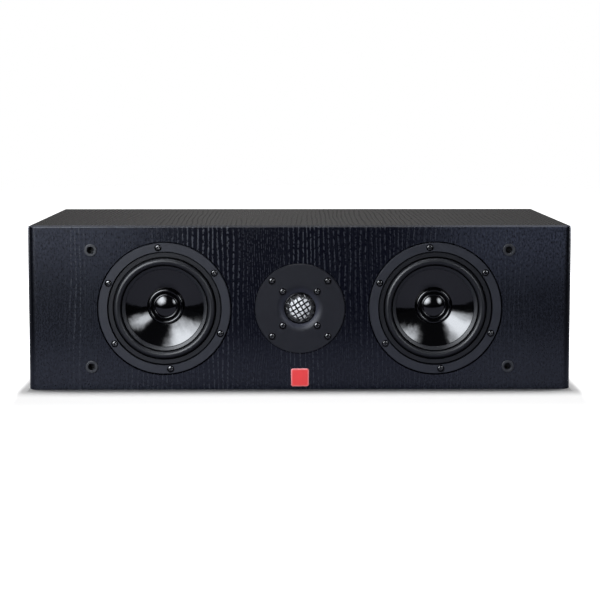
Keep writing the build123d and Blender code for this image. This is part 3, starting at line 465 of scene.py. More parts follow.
def lacquer(name, tone):
    """Deep black lacquer with the faint waves of a sprayed coat."""
    made = Finish(name, IOR=1.6)
    waves = made.place.noise(70.0, 2.0)
    dust = made.place.noise(2600.0, 1.0).smooth(0.70, 0.78)
    made.varies(Base_Color=dust.between(*shades(tone, 0.3)), Roughness=waves * 0.05 + dust * 0.06 + 0.055)
    return made.relief(waves, 0.00045, 0.40).material


def wound(name, tone, pitch, rough, **constants):
    """Fine turns of wire or thread round an axis along Y."""
    made = Finish(name, **constants)
    turns = made.place.bands(1 / pitch / 3.2, "Y", 0.4)
    patches = made.place.noise(90.0, 2.0)
    mask = turns * 0.5 + patches * 0.5
    made.varies(Base_Color=mask.between(*shades(tone, 0.35)), Roughness=patches * 0.15 + rough)
    return made.relief(turns, pitch / 2).material


def woven(name, tone, pitch, rough):
    """Plain cloth with threads across and up."""
    made = Finish(name)
    across, upward = [made.place.bands(1 / pitch / 3.2, way, 0.6) for way in "XZ"]
    weave, wear_and_sheen = across * upward, made.place.noise(60.0, 3.0)
    mask = weave * 0.6 + wear_and_sheen * 0.4
    made.varies(Base_Color=mask.between(*shades(tone, 0.45)), Roughness=wear_and_sheen * 0.12 + rough)
    return made.relief(weave, pitch / 2).material


def enamel(name, look, middle, half):
    """Red enamel with a painted highlight along its rounded edge."""
    made = Finish(name, Coat_Roughness=0.08, IOR=1.5)
    across = (made.place.axis("X") - middle.x).size()
    upward = (made.place.axis("Z") - middle.z).size()
    rim = across.most(upward).smooth(half - 2.2 * look.badge_rim, half)
    flow = made.place.noise(240.0, 2.0)
    body = flow.between(*shades(look.badge_red, 0.06))
    # Painted highlight: the rounded edge is paler.
    pale = [0.5 * c + 0.30 for c in look.badge_red]
    made.varies(
        Base_Color=(rim * 0.55).between(body, pale),
        Roughness=flow * 0.10 + 0.26,
        Coat_Weight=flow * 0.2 + 0.35,
    )
    return made.relief(flow, 0.00006).material


def new_piece(name, mesh, finish, crease=38.0):
    """Turns a bmesh into a shaded object of the scene."""
    bmesh.ops.recalc_face_normals(mesh, faces=mesh.faces)
    data = bpy.data.meshes.new(name)
    mesh.to_mesh(data)
    mesh.free()
    data.shade_smooth()
    data.set_sharp_from_angle(angle=radians(crease))
    data.materials.append(finish)
    piece = bpy.data.objects.new(name, data)
    bpy.context.scene.collection.objects.link(piece)
    return piece


def add_rings(mesh, rings, closed):
    """Skins rings of equally many points or of a single one, and may join the last to the first."""
    made = [[mesh.verts.new(point) for point in ring] for ring in rings]
    pairs = list(zip(made, made[1:])) + ([(made[-1], made[0])] if closed else [])
    for ring, other in pairs:
        count = max(len(ring), len(other))
        for n in range(count if count > 1 else 0):
            m = (n + 1) % count
            if len(ring) == 1:
                mesh.faces.new((ring[0], other[n], other[m]))
            elif len(other) == 1:
                mesh.faces.new((ring[n], ring[m], other[0]))
            else:
                mesh.faces.new((ring[n], ring[m], other[m], other[n]))


def polar(radius, depth, turn):
    """A point at a radius, a depth and a turn about the Y axis."""
    return Vector((radius * cos(turn), depth, radius * sin(turn)))


def add_turned(mesh, centre, outline, steps):
    """Turns a closed outline of radius and depth pairs about an axis along Y."""
    turns = [2 * pi * n / steps for n in range(steps)]
    rings = []
    for radius, depth in outline:
        rings.append([centre + polar(radius, depth, t) for t in (turns if radius > TINY else turns[:1])])
    add_rings(mesh, rings, True)


def arc(start, over, end, count):
    """Points on the arc through three points, ends included."""
    (ax, ay), (bx, by), (cx, cy) = start, over, end
    span = 2 * (ax * (by - cy) + bx * (cy - ay) + cx * (ay - by))
    a, b, c = ax * ax + ay * ay, bx * bx + by * by, cx * cx + cy * cy
    ux = (a * (by - cy) + b * (cy - ay) + c * (ay - by)) / span
    uy = (a * (cx - bx) + b * (ax - cx) + c * (bx - ax)) / span
    first, last = Vector((ax - ux, ay - uy)), Vector((cx - ux, cy - uy))
    through = Vector((bx - ux, by - uy))
    sweep = first.angle_signed(through) + through.angle_signed(last)
    turns = [Matrix.Rotation(-sweep * n / (count - 1), 2) @ first for n in range(count)]
    return [(ux + turn.x, uy + turn.y) for turn in turns]


def middle_of(node):
    """Middle of a CAD node's box."""
    low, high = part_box(node)
    return (low + high) / 2


def face_of(node):
    """The point on a round CAD node's axis, level with its front."""
    spot = middle_of(node)
    return Vector((spot.x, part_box(node)[0].y, spot.z))


def woofer_face(side):
    """The point on a woofer's axis, level with its flange."""
    return face_of(f"{side}_woofer_frame")


def turned(name, centre, outline, steps, finish):
    """A piece turned about an axis along Y."""
    mesh = bmesh.new()
    add_turned(mesh, centre, outline, steps)
    return new_piece(name, mesh, finish)


def dress(finish, *nodes):
    """Gives CAD nodes a finish and smooth round faces."""
    for name in nodes:
        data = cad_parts[name].data
        data.materials.clear()
        data.materials.append(finish)
        data.shade_smooth()
        data.set_sharp_from_angle(angle=radians(CAD_CREASE))


def both(piece):
    """The left and right node of a kind."""
    return [f"{side}_{piece}" for side in SIDES]


class SPEAKER_OT_cabinet(Operator):
    """Wraps the cabinet in black ash vinyl and finishes the board inside"""

    bl_idname = "speaker.cabinet"
    bl_label = "Cabinet"

    def execute(self, context):
        look = context.scene.speaker_cabinet
        # The front carries painted shade and painted sheen.
        front = (look.ash_ground, look.ash_line, look.ash_end, 0.38, True)
        # The top and the bottom get the paler ground, which is painted sheen.
        wrap = (look.top_sheen_ground, look.top_line, scaled(look.top_sheen_ground, 0.60), 0.15)
        rear = (look.ash_ground, look.ash_line, look.rear_end, 0.45)
        dress(ash_vinyl("ash_vinyl_front", look, "X", "Z", *front), "front_baffle")
        dress(ash_vinyl("ash_vinyl_wrap", look, "X", "Y", *wrap), "top_panel", "bottom_panel")
        dress(ash_vinyl("ash_vinyl_sides", look, "Z", "Y", *rear), *both("side_panel"))
        dress(ash_vinyl("ash_vinyl_back", look, "X", "Z", *rear), "back_panel")
        board = mottled("bare_board", (0.24, 0.17, 0.11), (0.36, 0.27, 0.18), 900.0, 0.85, 0.0001)
        foam = mottled("damping_foam", (0.05, 0.05, 0.055), (0.11, 0.11, 0.12), 500.0, 0.95, 0.0008)
        dress(board, *both("brace"))
        dress(foam, "damping_pads")
        return {"FINISHED"}


def rounded_square(half, corner):
    """Points round a square with rounded corners, as pairs about its middle."""
    points = []
    for quarter in range(4):
        x = (half - corner) * (1 if quarter in (0, 3) else -1)
        z = (half - corner) * (1 if quarter in (0, 1) else -1)
        turns = [pi / 2 * (quarter + n / 8) for n in range(9)]
        points += [(x + corner * cos(t), z + corner * sin(t)) for t in turns]
    return points


class SPEAKER_OT_fittings(Operator):
    """Finishes the grille sockets and presses the bare badge"""

    bl_idname = "speaker.fittings"
    bl_label = "Sockets and badge"

    def execute(self, context):
        look = context.scene.speaker_cabinet
        grey = mottled("socket_plastic", *shades(look.socket_grey, 0.15), 1400.0, 0.42, 0.00003)
        dress(grey, "grille_sockets")
        low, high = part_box("badge")
        middle, half, thick = (low + high) / 2, (high.x - low.x) / 2, high.y - low.y
        rim, edge, tightest = look.badge_rim, look.badge_rim * 0.75, 0.0004
        steps = [(0.0, 0.0), (0.0, thick - edge)]
        for t in (pi * n / 12 for n in range(1, 7)):
            steps.append((rim * (1 - cos(t)), thick - edge * (1 - sin(t))))
        for share in (0.25, 0.5, 0.75):
            steps.append((rim + (half - rim) * share, thick + look.badge_crown * share))
        rings = []
        for inset, rise in steps:
            square = rounded_square(half - inset, max(look.badge_corner - inset, tightest))
            rings.append([(middle.x + x, high.y - rise, middle.z + z) for x, z in square])
        mesh = bmesh.new()
        add_rings(mesh, rings + [[(middle.x, low.y - look.badge_crown, middle.z)]], False)
        piece = new_piece("badge_plate", mesh, enamel("badge_enamel", look, middle, half))
        piece.visible_diffuse = False
        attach(piece, "cabinet")
        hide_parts("badge")
        return {"FINISHED"}


def woofer_screws(look, side):
    """Places of a woofer's screws on the front."""
    spot = woofer_face(side)
    turns = [look.screw_start + 2 * pi * n / look.screw_count for n in range(look.screw_count)]
    return [(spot.x + look.screw_circle * cos(t), spot.z + look.screw_circle * sin(t)) for t in turns]


def tweeter_screws(half):
    """Corners of a square of screws on the tweeter's plate."""
    plate = middle_of("tweeter_faceplate")
    return [(plate.x + x * half, plate.z + z * half) for x in (-1, 1) for z in (-1, 1)]


class SPEAKER_OT_woofer_frames(Operator):
    """Coats the cast frames of the woofers"""

    bl_idname = "speaker.woofer_frames"
    bl_label = "Woofer frames"

    def execute(self, context):
        look = context.scene.speaker_woofer
        # Painted shade in the gap between the flange and the surround's foot, and round the sunk screws.
        seat_gap_shade = [((look.foot_radius + look.seat_radius) / 2, look.seat_radius - look.foot_radius + 0.0004)]
        spots = [spot for side in SIDES for spot in woofer_screws(look, side)]
        coat = ringed("frame_coat", look.coat, 1500.0, 0.38, 0.00007, seat_gap_shade, spots, Specular_IOR_Level=0.36)
        dress(coat, *both("woofer_frame"))
        return {"FINISHED"}


def cone_face(look, radius, rise=0.0):
    """Depth of the cone's bowed front at a radius, or of the face that lies a rise in front of it."""
    run = look.cone_radius - look.neck_radius
    slant = hypot(run, look.cone_depth)
    bend = (slant**2 / 4 + look.cone_bow**2) / (2 * look.cone_bow)
    shift = (bend - look.cone_bow) / slant
    aside = (look.cone_radius + look.neck_radius) / 2 + shift * look.cone_depth
    depth = look.seat_depth + look.cone_depth / 2 + shift * run
    return depth - sqrt((bend + rise) ** 2 - (aside - radius) ** 2)


def bend_between(piece, side, still, moving):
    """Bakes a ring's placement into its mesh and works out weights from the cabinet, at one radius, to a
    woofer's diaphragm, at a smaller one; the weights are not used.
    """
    centre = woofer_face(side)
    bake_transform(piece)
    reach = [hypot(v.co.x - centre.x, v.co.z - centre.z) for v in piece.data.vertices]
    shares = [min(max((still - r) / (still - moving), 0.0), 1.0) for r in reach]
    weights = [share * share * (3 - 2 * share) for share in shares]


class SPEAKER_OT_surrounds(Operator):
    """Moulds the rubber surrounds between the frame and the cone"""

    bl_idname = "speaker.surrounds"
    bl_label = "Surrounds"

    def execute(self, context):
        look = context.scene.speaker_woofer
        face, seat, crown = look.face_depth, look.seat_depth, look.roll_crown
        foot, outer, inner = look.foot_radius, look.roll_outer, look.roll_inner
        lip, end = look.lip_outer, look.lip_inner
        # Painted shade in the grooves on each side of the roll.
        shaded_grooves = [(outer + 0.0007, 0.0016), (lip + 0.0003, 0.0014)]
        rubber = ringed(
            "surround_rubber", look.rubber, 1100.0, 0.34, 0.00002, shaded_grooves, Specular_IOR_Level=0.40
        )
        middle, groove, ditch = (outer + inner) / 2, face + 0.0009, face + 0.0018
        outline = [(foot, seat), (foot, face + 0.0002), (foot - 0.0002, face), (foot - 0.0003, face)]
        outline += [(outer + 0.0018, face), (outer + 0.0016, face), (outer + 0.0014, face + 0.0002)]
        outline += [(outer + 0.0011, groove), (outer + 0.0007, groove), (outer + 0.0003, groove - 0.0001)]
        outline += arc((outer, face), (middle, -crown), (inner, face), 33)
        outline += [(inner - 0.0001, ditch), (lip + 0.0001, ditch)]
        ramp = [(lip - 0.0001, -0.0004), (lip - 0.0003, -0.0001), (lip - 0.0007, 0.0), (lip - 0.0009, 0.0)]
        ramp += [(end + 0.0009, 0.0), (end + 0.0007, 0.0), (end + 0.0003, -0.0001), (end, -0.0005)]
        outline += [(radius, cone_face(look, radius, look.lip_rise + rise)) for radius, rise in ramp]
        outline += [(radius, cone_face(look, radius, 0.0003)) for radius in (end, lip)]
        outline += [(lip, seat), (inner + 0.0009, seat)]
        outline += arc((inner + 0.0010, seat), (middle, 0.0010 - crown), (outer - 0.0010, seat), 17)
        for side in SIDES:
            piece = turned(f"{side}_surround_roll", woofer_face(side), outline, 192, rubber)
            bend_between(piece, side, outer, inner)
            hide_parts(f"{side}_woofer_surround")
        return {"FINISHED"}


class SPEAKER_OT_cones(Operator):
    """Turns the lacquered cones with their ringed dust caps"""

    bl_idname = "speaker.cones"
    bl_label = "Cones and dust caps"

    def execute(self, context):
        look = context.scene.speaker_woofer
        gloss = lacquer("cone_lacquer", look.gloss)
        rim, neck, wall = look.cone_radius, look.neck_radius, look.cone_wall
        end = look.seat_depth + look.cone_depth + look.neck_length
        front = [rim - (rim - neck) * n / 24 for n in range(25)]
        back = [neck + wall + (rim - neck - wall) * n / 16 for n in range(17)]
        cone = [(radius, cone_face(look, radius)) for radius in front]
        cone += [(neck, end), (neck + wall, end)]
        cone += [(radius, cone_face(look, radius, -wall)) for radius in back]
        edge, dome = look.cap_radius, look.cap_dome
        base = cone_face(look, edge, 0.00015) - wall
        ring, bead = (edge - look.cap_ring) / 2, (look.cap_bead - dome) / 2
        apex = base - look.cap_height
        bow = (dome**2 + look.cap_height**2) / (2 * look.cap_height)
        half = dome / 2
        halfway = apex + bow - sqrt(bow**2 - half**2)
        cap = [(edge, base + wall)]
        cap += arc((edge, base), (edge - ring, base - ring), (look.cap_ring, base), 17)
        cap += arc((look.cap_bead, base), (look.cap_bead - bead, base - bead), (dome, base), 13)
        cap += arc((dome, base), (half, halfway), (0.0, apex), 25)[1:]
        cap += arc((0.0, apex + wall), (half, halfway + wall), (dome - wall, base + wall), 13)
        for side in SIDES:
            for name, outline, node in (("cone_shell", cone, "cone"), ("dust_cap_shell", cap, "dust_cap")):
                piece = turned(f"{side}_{name}", woofer_face(side), outline, 224, gloss)
                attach(piece, f"{side}_woofer_diaphragm")
                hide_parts(f"{side}_woofer_{node}")
        return {"FINISHED"}


def cross_reach(turn, arm, width):
    """Radius of a cross recess in one direction."""
    quarter = (turn + pi / 4) % (pi / 2) - pi / 4
    if abs(tan(quarter)) <= width / arm:
        return arm / cos(quarter)
    return width / abs(sin(quarter))


def add_screw(mesh, look, centre, reach, turn):
    """A domed screw with a cross recess, the front of its head at the centre and its shank behind."""
    radius, height, shank = look.screw_head, look.screw_rise, look.screw_shank
    arm, width = radius * 0.60, radius * 0.15
    corners = [pi / 2 * n + s * atan(width / arm) for n in range(4) for s in (-1, 1)]
    turns = sorted({round(t % (2 * pi), 6) for t in corners + [2 * pi * n / 40 for n in range(40)]})
    outline = [(reach, shank * 0.2), (reach - shank * 1.4, shank), (height, shank), (height, radius)]
    dome = ((0.62, 1.0), (0.40, 0.96), (0.22, 0.87), (0.08, 0.72))
    outline += [(height * depth, radius * size) for depth, size in dome]
    rings = [[(depth, size) for _ in turns] for depth, size in outline]
    for depth, share in ((height * 0.04, 1.0), (height * 0.78, 0.72)):
        rings.append([(depth, cross_reach(t, arm, width) * share) for t in turns])
    skin = [[centre + Vector((0, reach + shank * 0.3, 0))]]
    for ring in rings:
        skin.append([centre + polar(size, depth, t + turn) for (depth, size), t in zip(ring, turns)])
    skin.append([centre + Vector((0, height * 0.88, 0))])
    add_rings(mesh, skin, False)


class SPEAKER_OT_screws(Operator):
    """Sets domed black screws in the drivers and the terminal cup"""

    bl_idname = "speaker.screws"
    bl_label = "Screws"

    def execute(self, context):
        woofer, tweeter = context.scene.speaker_woofer, context.scene.speaker_tweeter
        dark, light = (0.004, 0.004, 0.005), (0.009, 0.009, 0.010)
        black = mottled("screw_black", dark, light, 2600.0, 0.12, 0.00002, IOR=2.0)
        sets = {f"{side}_woofer_screws": woofer_screws(woofer, side) for side in SIDES}
        sets["tweeter_mounting_screws"] = tweeter_screws(tweeter.mounting)
        sets["tweeter_motor_screws"] = tweeter_screws(tweeter.motor)
        for node, places in sets.items():
            low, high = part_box(node)
            mesh = bmesh.new()
            for n, (x, z) in enumerate(places):
                # Each recess stands at an angle of its own.
                add_screw(mesh, woofer, Vector((x, low.y, z)), high.y - low.y, 0.7 * n + x * 9)
            piece = new_piece(f"{node}_set", mesh, black, 32.0)
            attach(piece, "cabinet")
            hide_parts(node)
        dress(black, "terminal_cup_screws")
        return {"FINISHED"}


def add_wire(mesh, path, normals, width, sides=10):
    """A round wire along a path, with flat ends."""
    turns = [2 * pi * k / sides for k in range(sides)]
    rings = []
    for n, (point, normal) in enumerate(zip(path, normals)):
        ahead = path[min(n + 1, len(path) - 1)] - path[max(n - 1, 0)]
        across = ahead.cross(normal).normalized()
        outward = across.cross(ahead).normalized()
        rings.append([point + width / 2 * (across * cos(t) + outward * 0.8 * sin(t)) for t in turns])
    add_rings(mesh, [[path[0]]] + rings + [[path[-1]]], False)


def add_weave(mesh, look, centre):
    """Wires that pass over and under each other on a domed cap."""
    foot, rise, pitch, width = look.mesh_foot, look.mesh_height, look.wire_pitch, look.wire_width
    ball = (foot**2 + rise**2) / (2 * rise)
    heart = centre + Vector((0, look.mesh_depth - rise + ball, 0))
    shell, sway = ball - look.wire_sink, width * 0.30
    count = int(foot / pitch) + 1
    turn = Matrix.Rotation(-look.wire_turn, 3, "Y")
    for family in (0, 1):
        for row in range(-count, count):
            across = (row + 0.5) * pitch
            if abs(across) > foot - width:
                continue
            end = sqrt((foot - 0.0002) ** 2 - across**2)
            over = sway if (row + family) % 2 else -sway
            path, normals = [], []
            for n in range(81):
                along = end * (n / 40 - 1)
                x, z = (along, across) if family == 0 else (across, along)
                normal = turn @ Vector((x, -sqrt(shell**2 - x * x - z * z), z)).normalized()
                path.append(heart + normal * (shell + over * sin(pi * along / pitch)))
                normals.append(normal)
            add_wire(mesh, path, normals, width)


def plate_coat(look):
    """Satin coat of the tweeter's plate, with painted light in the flare round the mesh and painted shade
    round its screws.
    """
    made = Finish("plate_coat", Specular_IOR_Level=0.26)
    reach = made.place.from_axis(face_of("tweeter_faceplate"))
    # Painted light: the flare round the mesh is paler, standing in for the light that falls on it.
    flare = reach.smooth(look.flare_start, look.flare_end, 1.0, 0.0)
    dark = wells(made.place, tweeter_screws(look.mounting) + tweeter_screws(look.motor))
    return satin(made, look.coat, 2100.0, 0.40, 0.00006, dark, flare)


def wire_lacquer(look):
    """Black lacquer of the mesh, glossy on its shoulder and dull in the middle and on the hoop."""
    made = Finish("wire_lacquer", Specular_IOR_Level=1.0)
    reach = made.place.from_axis(face_of("tweeter_faceplate"))
    fine = made.place.noise(3000.0, 2.0)
    hoop = look.mesh_foot - 0.0012
    dull = reach.smooth(0.0080, 0.0125, 1.0, 0.0) + reach.smooth(hoop, hoop + 0.0006)
    tone = fine.between(*shades(look.wire_black, 0.3))
    made.varies(Base_Color=tone, Roughness=fine * 0.08 + 0.20, Metallic=dull * 0.9)
    return made.relief(fine, 0.00001).material


class SPEAKER_OT_tweeter(Operator):
    """Weaves the domed wire mesh and finishes the tweeter's plate and dome"""

    bl_idname = "speaker.tweeter"
    bl_label = "Tweeter"

    def execute(self, context):
        look = context.scene.speaker_tweeter
        dress(plate_coat(look), "tweeter_faceplate")
        silver = mottled("dome_metal", *shades(look.dome_silver, 0.05), 1800.0, 0.50, 0.00001, Metallic=0.15)
        dress(silver, "tweeter_dome")
        dress(woven("coated_cloth", (0.02, 0.02, 0.022), 0.0005, 0.6), "tweeter_surround")
        centre, foot, depth = face_of("tweeter_faceplate"), look.mesh_foot, look.mesh_depth
        rim = foot + 0.0009
        hoop = [(rim, depth + 0.0009), (rim, depth + 0.0002), (rim - 0.0002, depth)]
        hoop += [(foot - 0.0001, depth - 0.0003), (foot - 0.0008, depth - 0.0001)]
        hoop += [(foot - 0.0010, depth + 0.0004), (foot - 0.0009, depth + 0.0009)]
        mesh = bmesh.new()
        add_weave(mesh, look, centre)
        add_turned(mesh, centre, hoop, 128)
        piece = new_piece("tweeter_woven_cap", mesh, wire_lacquer(look), 50.0)
        piece.visible_shadow = False
        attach(piece, "cabinet")
        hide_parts("tweeter_mesh")
        return {"FINISHED"}


class SPEAKER_OT_motors(Operator):
    """Finishes the coils, magnets and plates behind the drivers"""

    bl_idname = "speaker.motors"
    bl_label = "Motors"

    def execute(self, context):
        copper = wound("coil_copper", (0.62, 0.27, 0.12), 0.0005, 0.25, Metallic=0.9)
        dark, light = (0.42, 0.42, 0.40), (0.58, 0.58, 0.55)
        steel = mottled("motor_steel", dark, light, 700.0, 0.32, 0.00003, Metallic=1.0)
        ferrite = mottled("ferrite", (0.018, 0.018, 0.019), (0.042, 0.041, 0.042), 900.0, 0.70, 0.0002)
        dress(copper, *both("woofer_voice_coil"), "tweeter_voice_coil")
        for part in ("top_plate", "pole_yoke"):
            dress(steel, *both(f"woofer_{part}"), f"tweeter_{part}")
        dress(ferrite, *both("woofer_magnet"), "tweeter_magnet")
        dress(woven("strip_fibre", (0.20, 0.11, 0.05), 0.0007, 0.7), *both("woofer_terminal_strip"))
        return {"FINISHED"}


class SPEAKER_OT_spiders(Operator):
    """Presses the corrugated spiders between the frame and the coil"""

    bl_idname = "speaker.spiders"
    bl_label = "Spiders"

    def execute(self, context):
        look = context.scene.speaker_woofer
        cloth = woven("spider_cloth", (0.55, 0.36, 0.10), 0.0009, 0.8)
        start, end, level, steps = look.spider_start, look.spider_end, look.spider_depth, 72
        back = [(look.neck_radius, level), (start - 0.0004, level)]
        for n in range(steps + 1):
            wave = look.spider_wave * sin(2 * pi * look.spider_waves * n / steps)
            back.append((start + (end - start) * n / steps, level + wave))
        back += [(end + 0.0004, level), (look.spider_radius, level)]
        front = [(radius, depth - look.spider_thickness) for radius, depth in reversed(back)]
        for side in SIDES:
            piece = turned(f"{side}_spider_disc", woofer_face(side), back + front, 128, cloth)
            bend_between(piece, side, end, start)
            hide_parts(f"{side}_woofer_spider")
        return {"FINISHED"}


class SPEAKER_OT_back(Operator):
    """Finishes the ports, the terminal cup and the binding posts"""

    bl_idname = "speaker.back"
    bl_label = "Ports and terminals"

    def execute(self, context):
        tube = mottled("port_plastic", (0.016, 0.016, 0.018), (0.030, 0.030, 0.033), 1300.0, 0.45, 0.00005)
        cup = mottled("cup_plastic", (0.018, 0.018, 0.020), (0.034, 0.034, 0.037), 1900.0, 0.52, 0.00010)
        dark, light = (0.78, 0.50, 0.17), (0.92, 0.64, 0.27)
        gold = mottled("plated_brass", dark, light, 1200.0, 0.20, 0.00002, Metallic=1.0)
        red = mottled("knob_red", (0.34, 0.014, 0.016), (0.46, 0.026, 0.028), 1500.0, 0.34, 0.00003)
        black = mottled("knob_black", (0.010, 0.010, 0.011), (0.022, 0.022, 0.024), 1500.0, 0.34, 0.00003)
        dress(tube, *both("port_tube"))
        dress(cup, "terminal_cup")
        dress(gold, "lock_nuts")
        for tone, plastic in (("red", red), ("black", black)):
            dress(gold, f"{tone}_binding_post", f"{tone}_post_nut")
            dress(plastic, f"{tone}_post_knob")
        return {"FINISHED"}


class SPEAKER_OT_crossover(Operator):
    """Finishes the crossover board, its parts and the wiring"""

    bl_idname = "speaker.crossover"
    bl_label = "Crossover"

    def execute(self, context):
        copper = wound("inductor_copper", (0.60, 0.24, 0.10), 0.0011, 0.22, Metallic=0.9)
        film = mottled("capacitor_sleeve", (0.10, 0.06, 0.02), (0.18, 0.11, 0.04), 700.0, 0.30, 0.00004)
        ceramic = mottled("resistor_ceramic", (0.62, 0.61, 0.57), (0.78, 0.77, 0.73), 1100.0, 0.8, 0.00012)
        sleeve = mottled("wire_sleeve", (0.26, 0.02, 0.02), (0.38, 0.04, 0.04), 800.0, 0.45, 0.00004)
        dress(woven("board_laminate", (0.05, 0.16, 0.06), 0.0006, 0.42), "crossover_board")
        dress(copper, "crossover_inductors")
        dress(film, "crossover_capacitors")
        dress(ceramic, "crossover_resistors")
        dress(sleeve, "internal_wiring")
        return {"FINISHED"}


def softbox(name, spot, aim, width, height, watts, tint):
    """A rectangular lamp that is brighter in its middle, aimed at a point."""
    light = bpy.data.lights.new(name, "AREA")
    light.shape, light.size, light.size_y, light.energy = "RECTANGLE", width, height, watts
    light.color = tint
    light.use_nodes = True
    emission = light.node_tree.nodes["Emission"]
    across = Value(light.node_tree).node("ShaderNodeNewGeometry", out="Parametric")
    reach = across.distance((0.5, 0.5, 0.0)) + (across.noise(5.0, 3.0) - 0.5) * 0.30
    glow = reach.smooth(0.08, 0.54, 1.9, 0.0)
    light.node_tree.links.new(glow.socket, emission.inputs["Strength"])
    lamp = bpy.data.objects.new(name, light)
    lamp.location = spot
    lamp.rotation_euler = (Vector(aim) - Vector(spot)).to_track_quat("-Z", "Y").to_euler()
    lamp.visible_camera = False
    bpy.context.scene.collection.objects.link(lamp)
    return lamp


def pale_floor(look):
    """Floor that glows to the camera away from the cabinet, and throws light back up to the table's edge."""
    front, back = cad_low.y, cad_high.y
    made = Finish("pale_floor", Roughness=0.9, Specular_IOR_Level=0.1, Emission_Strength=1.0)
    seen = made.place.node("ShaderNodeLightPath", out="Is Camera Ray")
    across, deep = made.place.axis("X"), made.place.axis("Y")
    beside = (across.size() - cad_high.x).most(0.0) * look.shadow_haste
    ahead = ((deep - (front + back) / 2).size() - (back - front) / 2).most(0.0)
    off = across.math("POWER", beside * beside + ahead * ahead, 0.5)
    # Painted light and shadow: the glow fills in the cabinet's shadow away from it, and drops at its foot as
    # a painted contact shadow.
    lit = off.smooth(look.shadow_near, look.shadow_far, look.floor_glow, 1.0) * off.smooth(-0.004, 0.012)
    edge = deep + across * look.table_slant
    table = edge.smooth(front - look.table_edge - 0.02, front - look.table_edge)
    bounce = table.between(BLACK, (0.31, 0.32, 0.41))
    paper = made.place.noise(3.0, 2.0).between((0.86, 0.86, 0.86), (0.88, 0.88, 0.88))
    reach = made.place.distance(BLACK)
    made.varies(
        Base_Color=seen.between(bounce, paper),
        Emission_Color=(seen * lit).between(BLACK, WHITE),
        Alpha=reach.smooth(look.floor_radius * 0.6, look.floor_radius, 1.0, 0.0),
    )
    return made.material


def set_lamps(look, floor):
    """Sets up the lamps, of which only the top lamp and the back sheet light the floor and the top."""
    unlit = bpy.data.collections.new("lit_from_above_only")
    for level in (floor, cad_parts["top_panel"]):
        unlit.objects.link(level)
    for kept in unlit.collection_objects:
        kept.light_linking.link_state = "EXCLUDE"
    cool, face, core = (0.90, 0.94, 1.0), (0.0, cad_low.y, 0.10), (0.0, 0.0, 0.1)
    ahead = cad_low.y - 0.27
    lamps = (
        ("left_softbox", (-0.913, -1.386, 0.79), face, 1.9, 1.75, look.left_power, cool),
        ("right_softbox", (1.11, -1.33, 0.645), face, 0.80, 1.05, look.right_power, cool),
        ("left_side_lamp", (-1.9, 0.9, 0.35), core, 2.0, 0.8, look.side_power, cool),
        ("right_side_lamp", (1.9, 0.9, 0.35), core, 2.0, 0.8, look.side_power, cool),
        ("overhead_card", (0.0, ahead, 2.4), (0.0, ahead, 0.0), 2.6, 0.5, look.card_power, cool),
    )
    for lamp in lamps:
        softbox(*lamp).light_linking.receiver_collection = unlit
    softbox("top_lamp", (0.0, 0.165, 2.6), (0.0, 0.165, 0.0), 3.4, 0.60, look.top_power, WHITE)
    softbox("back_sheet", (0.0, 2.6, 0.75), (0.0, 0.0, 0.3), 5.0, 1.5, look.back_power, WHITE)


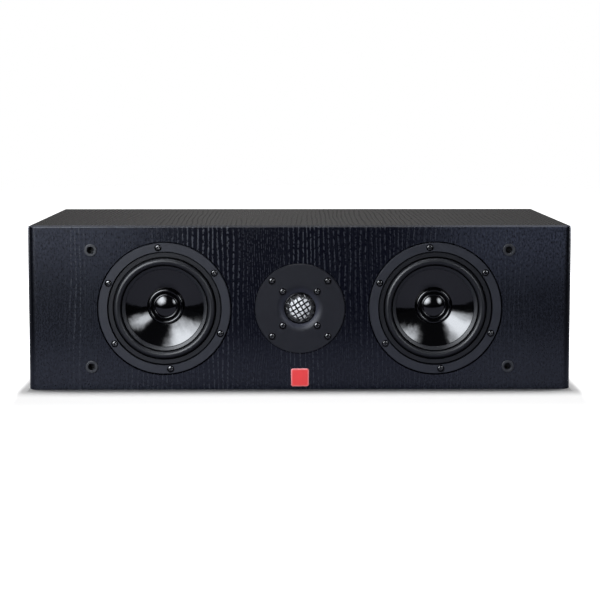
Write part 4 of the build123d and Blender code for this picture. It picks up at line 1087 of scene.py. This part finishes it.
class SPEAKER_OT_stage(Operator):
    """Sets up the pale floor, the lamps and the camera"""

    bl_idname = "speaker.stage"
    bl_label = "Stage"

    def execute(self, context):
        look, scene = context.scene.speaker_stage, context.scene
        scene.view_settings.view_transform = "Standard"
        mesh = bmesh.new()
        bmesh.ops.create_circle(mesh, cap_ends=True, segments=96, radius=look.floor_radius)
        floor = new_piece("floor", mesh, pale_floor(look))
        world = bpy.data.worlds.new("studio")
        scene.world = world
        world.use_nodes = True
        seen = Value(world.node_tree).node("ShaderNodeLightPath", out="Is Camera Ray")
        shade = seen.between((0.02, 0.02, 0.022), WHITE)
        world.node_tree.links.new(shade.socket, world.node_tree.nodes["Background"].inputs["Color"])
        set_lamps(look, floor)
        camera = bpy.data.cameras.new("photo_camera")
        camera.lens, camera.sensor_width, camera.shift_y = look.focal, look.sensor, look.shift
        eye = bpy.data.objects.new("photo_camera", camera)
        aside, away = look.camera_aside, look.camera_distance
        eye.location = (-aside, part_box("front_baffle")[0].y - away, look.camera_height)
        eye.rotation_euler = (pi / 2 - look.camera_tilt, 0.0, -atan(aside / away))
        scene.collection.objects.link(eye)
        scene.camera = eye
        return {"FINISHED"}


LOOKS = {
    "speaker_cabinet": CabinetLook,
    "speaker_woofer": WooferLook,
    "speaker_tweeter": TweeterLook,
    "speaker_stage": StageLook,
}
STEPS = (
    SPEAKER_OT_cabinet,
    SPEAKER_OT_fittings,
    SPEAKER_OT_woofer_frames,
    SPEAKER_OT_surrounds,
    SPEAKER_OT_cones,
    SPEAKER_OT_screws,
    SPEAKER_OT_tweeter,
    SPEAKER_OT_motors,
    SPEAKER_OT_spiders,
    SPEAKER_OT_back,
    SPEAKER_OT_crossover,
    SPEAKER_OT_stage,
)


class SPEAKER_PT_steps(Panel):
    """Lists the steps that dress the speaker"""

    bl_label = "Center channel speaker"
    bl_space_type = "VIEW_3D"
    bl_region_type = "UI"
    bl_category = "Speaker"

    def draw(self, context):
        for step in STEPS:
            self.layout.operator(step.bl_idname)


def register():
    """Registers the sizes, the steps and the panel."""
    for name, look in LOOKS.items():
        bpy.utils.register_class(look)
        setattr(bpy.types.Scene, name, PointerProperty(type=look))
    for step in (*STEPS, SPEAKER_PT_steps):
        bpy.utils.register_class(step)


def unregister():
    """Takes the panel, the steps and the sizes away."""
    for step in (SPEAKER_PT_steps, *reversed(STEPS)):
        bpy.utils.unregister_class(step)
    for name, look in LOOKS.items():
        delattr(bpy.types.Scene, name)
        bpy.utils.unregister_class(look)


def main():
    """Dresses the speaker step by step."""
    register()
    bpy.ops.speaker.cabinet()
    bpy.ops.speaker.fittings()
    bpy.ops.speaker.woofer_frames()
    bpy.ops.speaker.surrounds()
    bpy.ops.speaker.cones()
    bpy.ops.speaker.screws()
    bpy.ops.speaker.tweeter()
    bpy.ops.speaker.motors()
    bpy.ops.speaker.spiders()
    bpy.ops.speaker.back()
    bpy.ops.speaker.crossover()
    bpy.ops.speaker.stage()


if __name__ == "__main__":
    main()
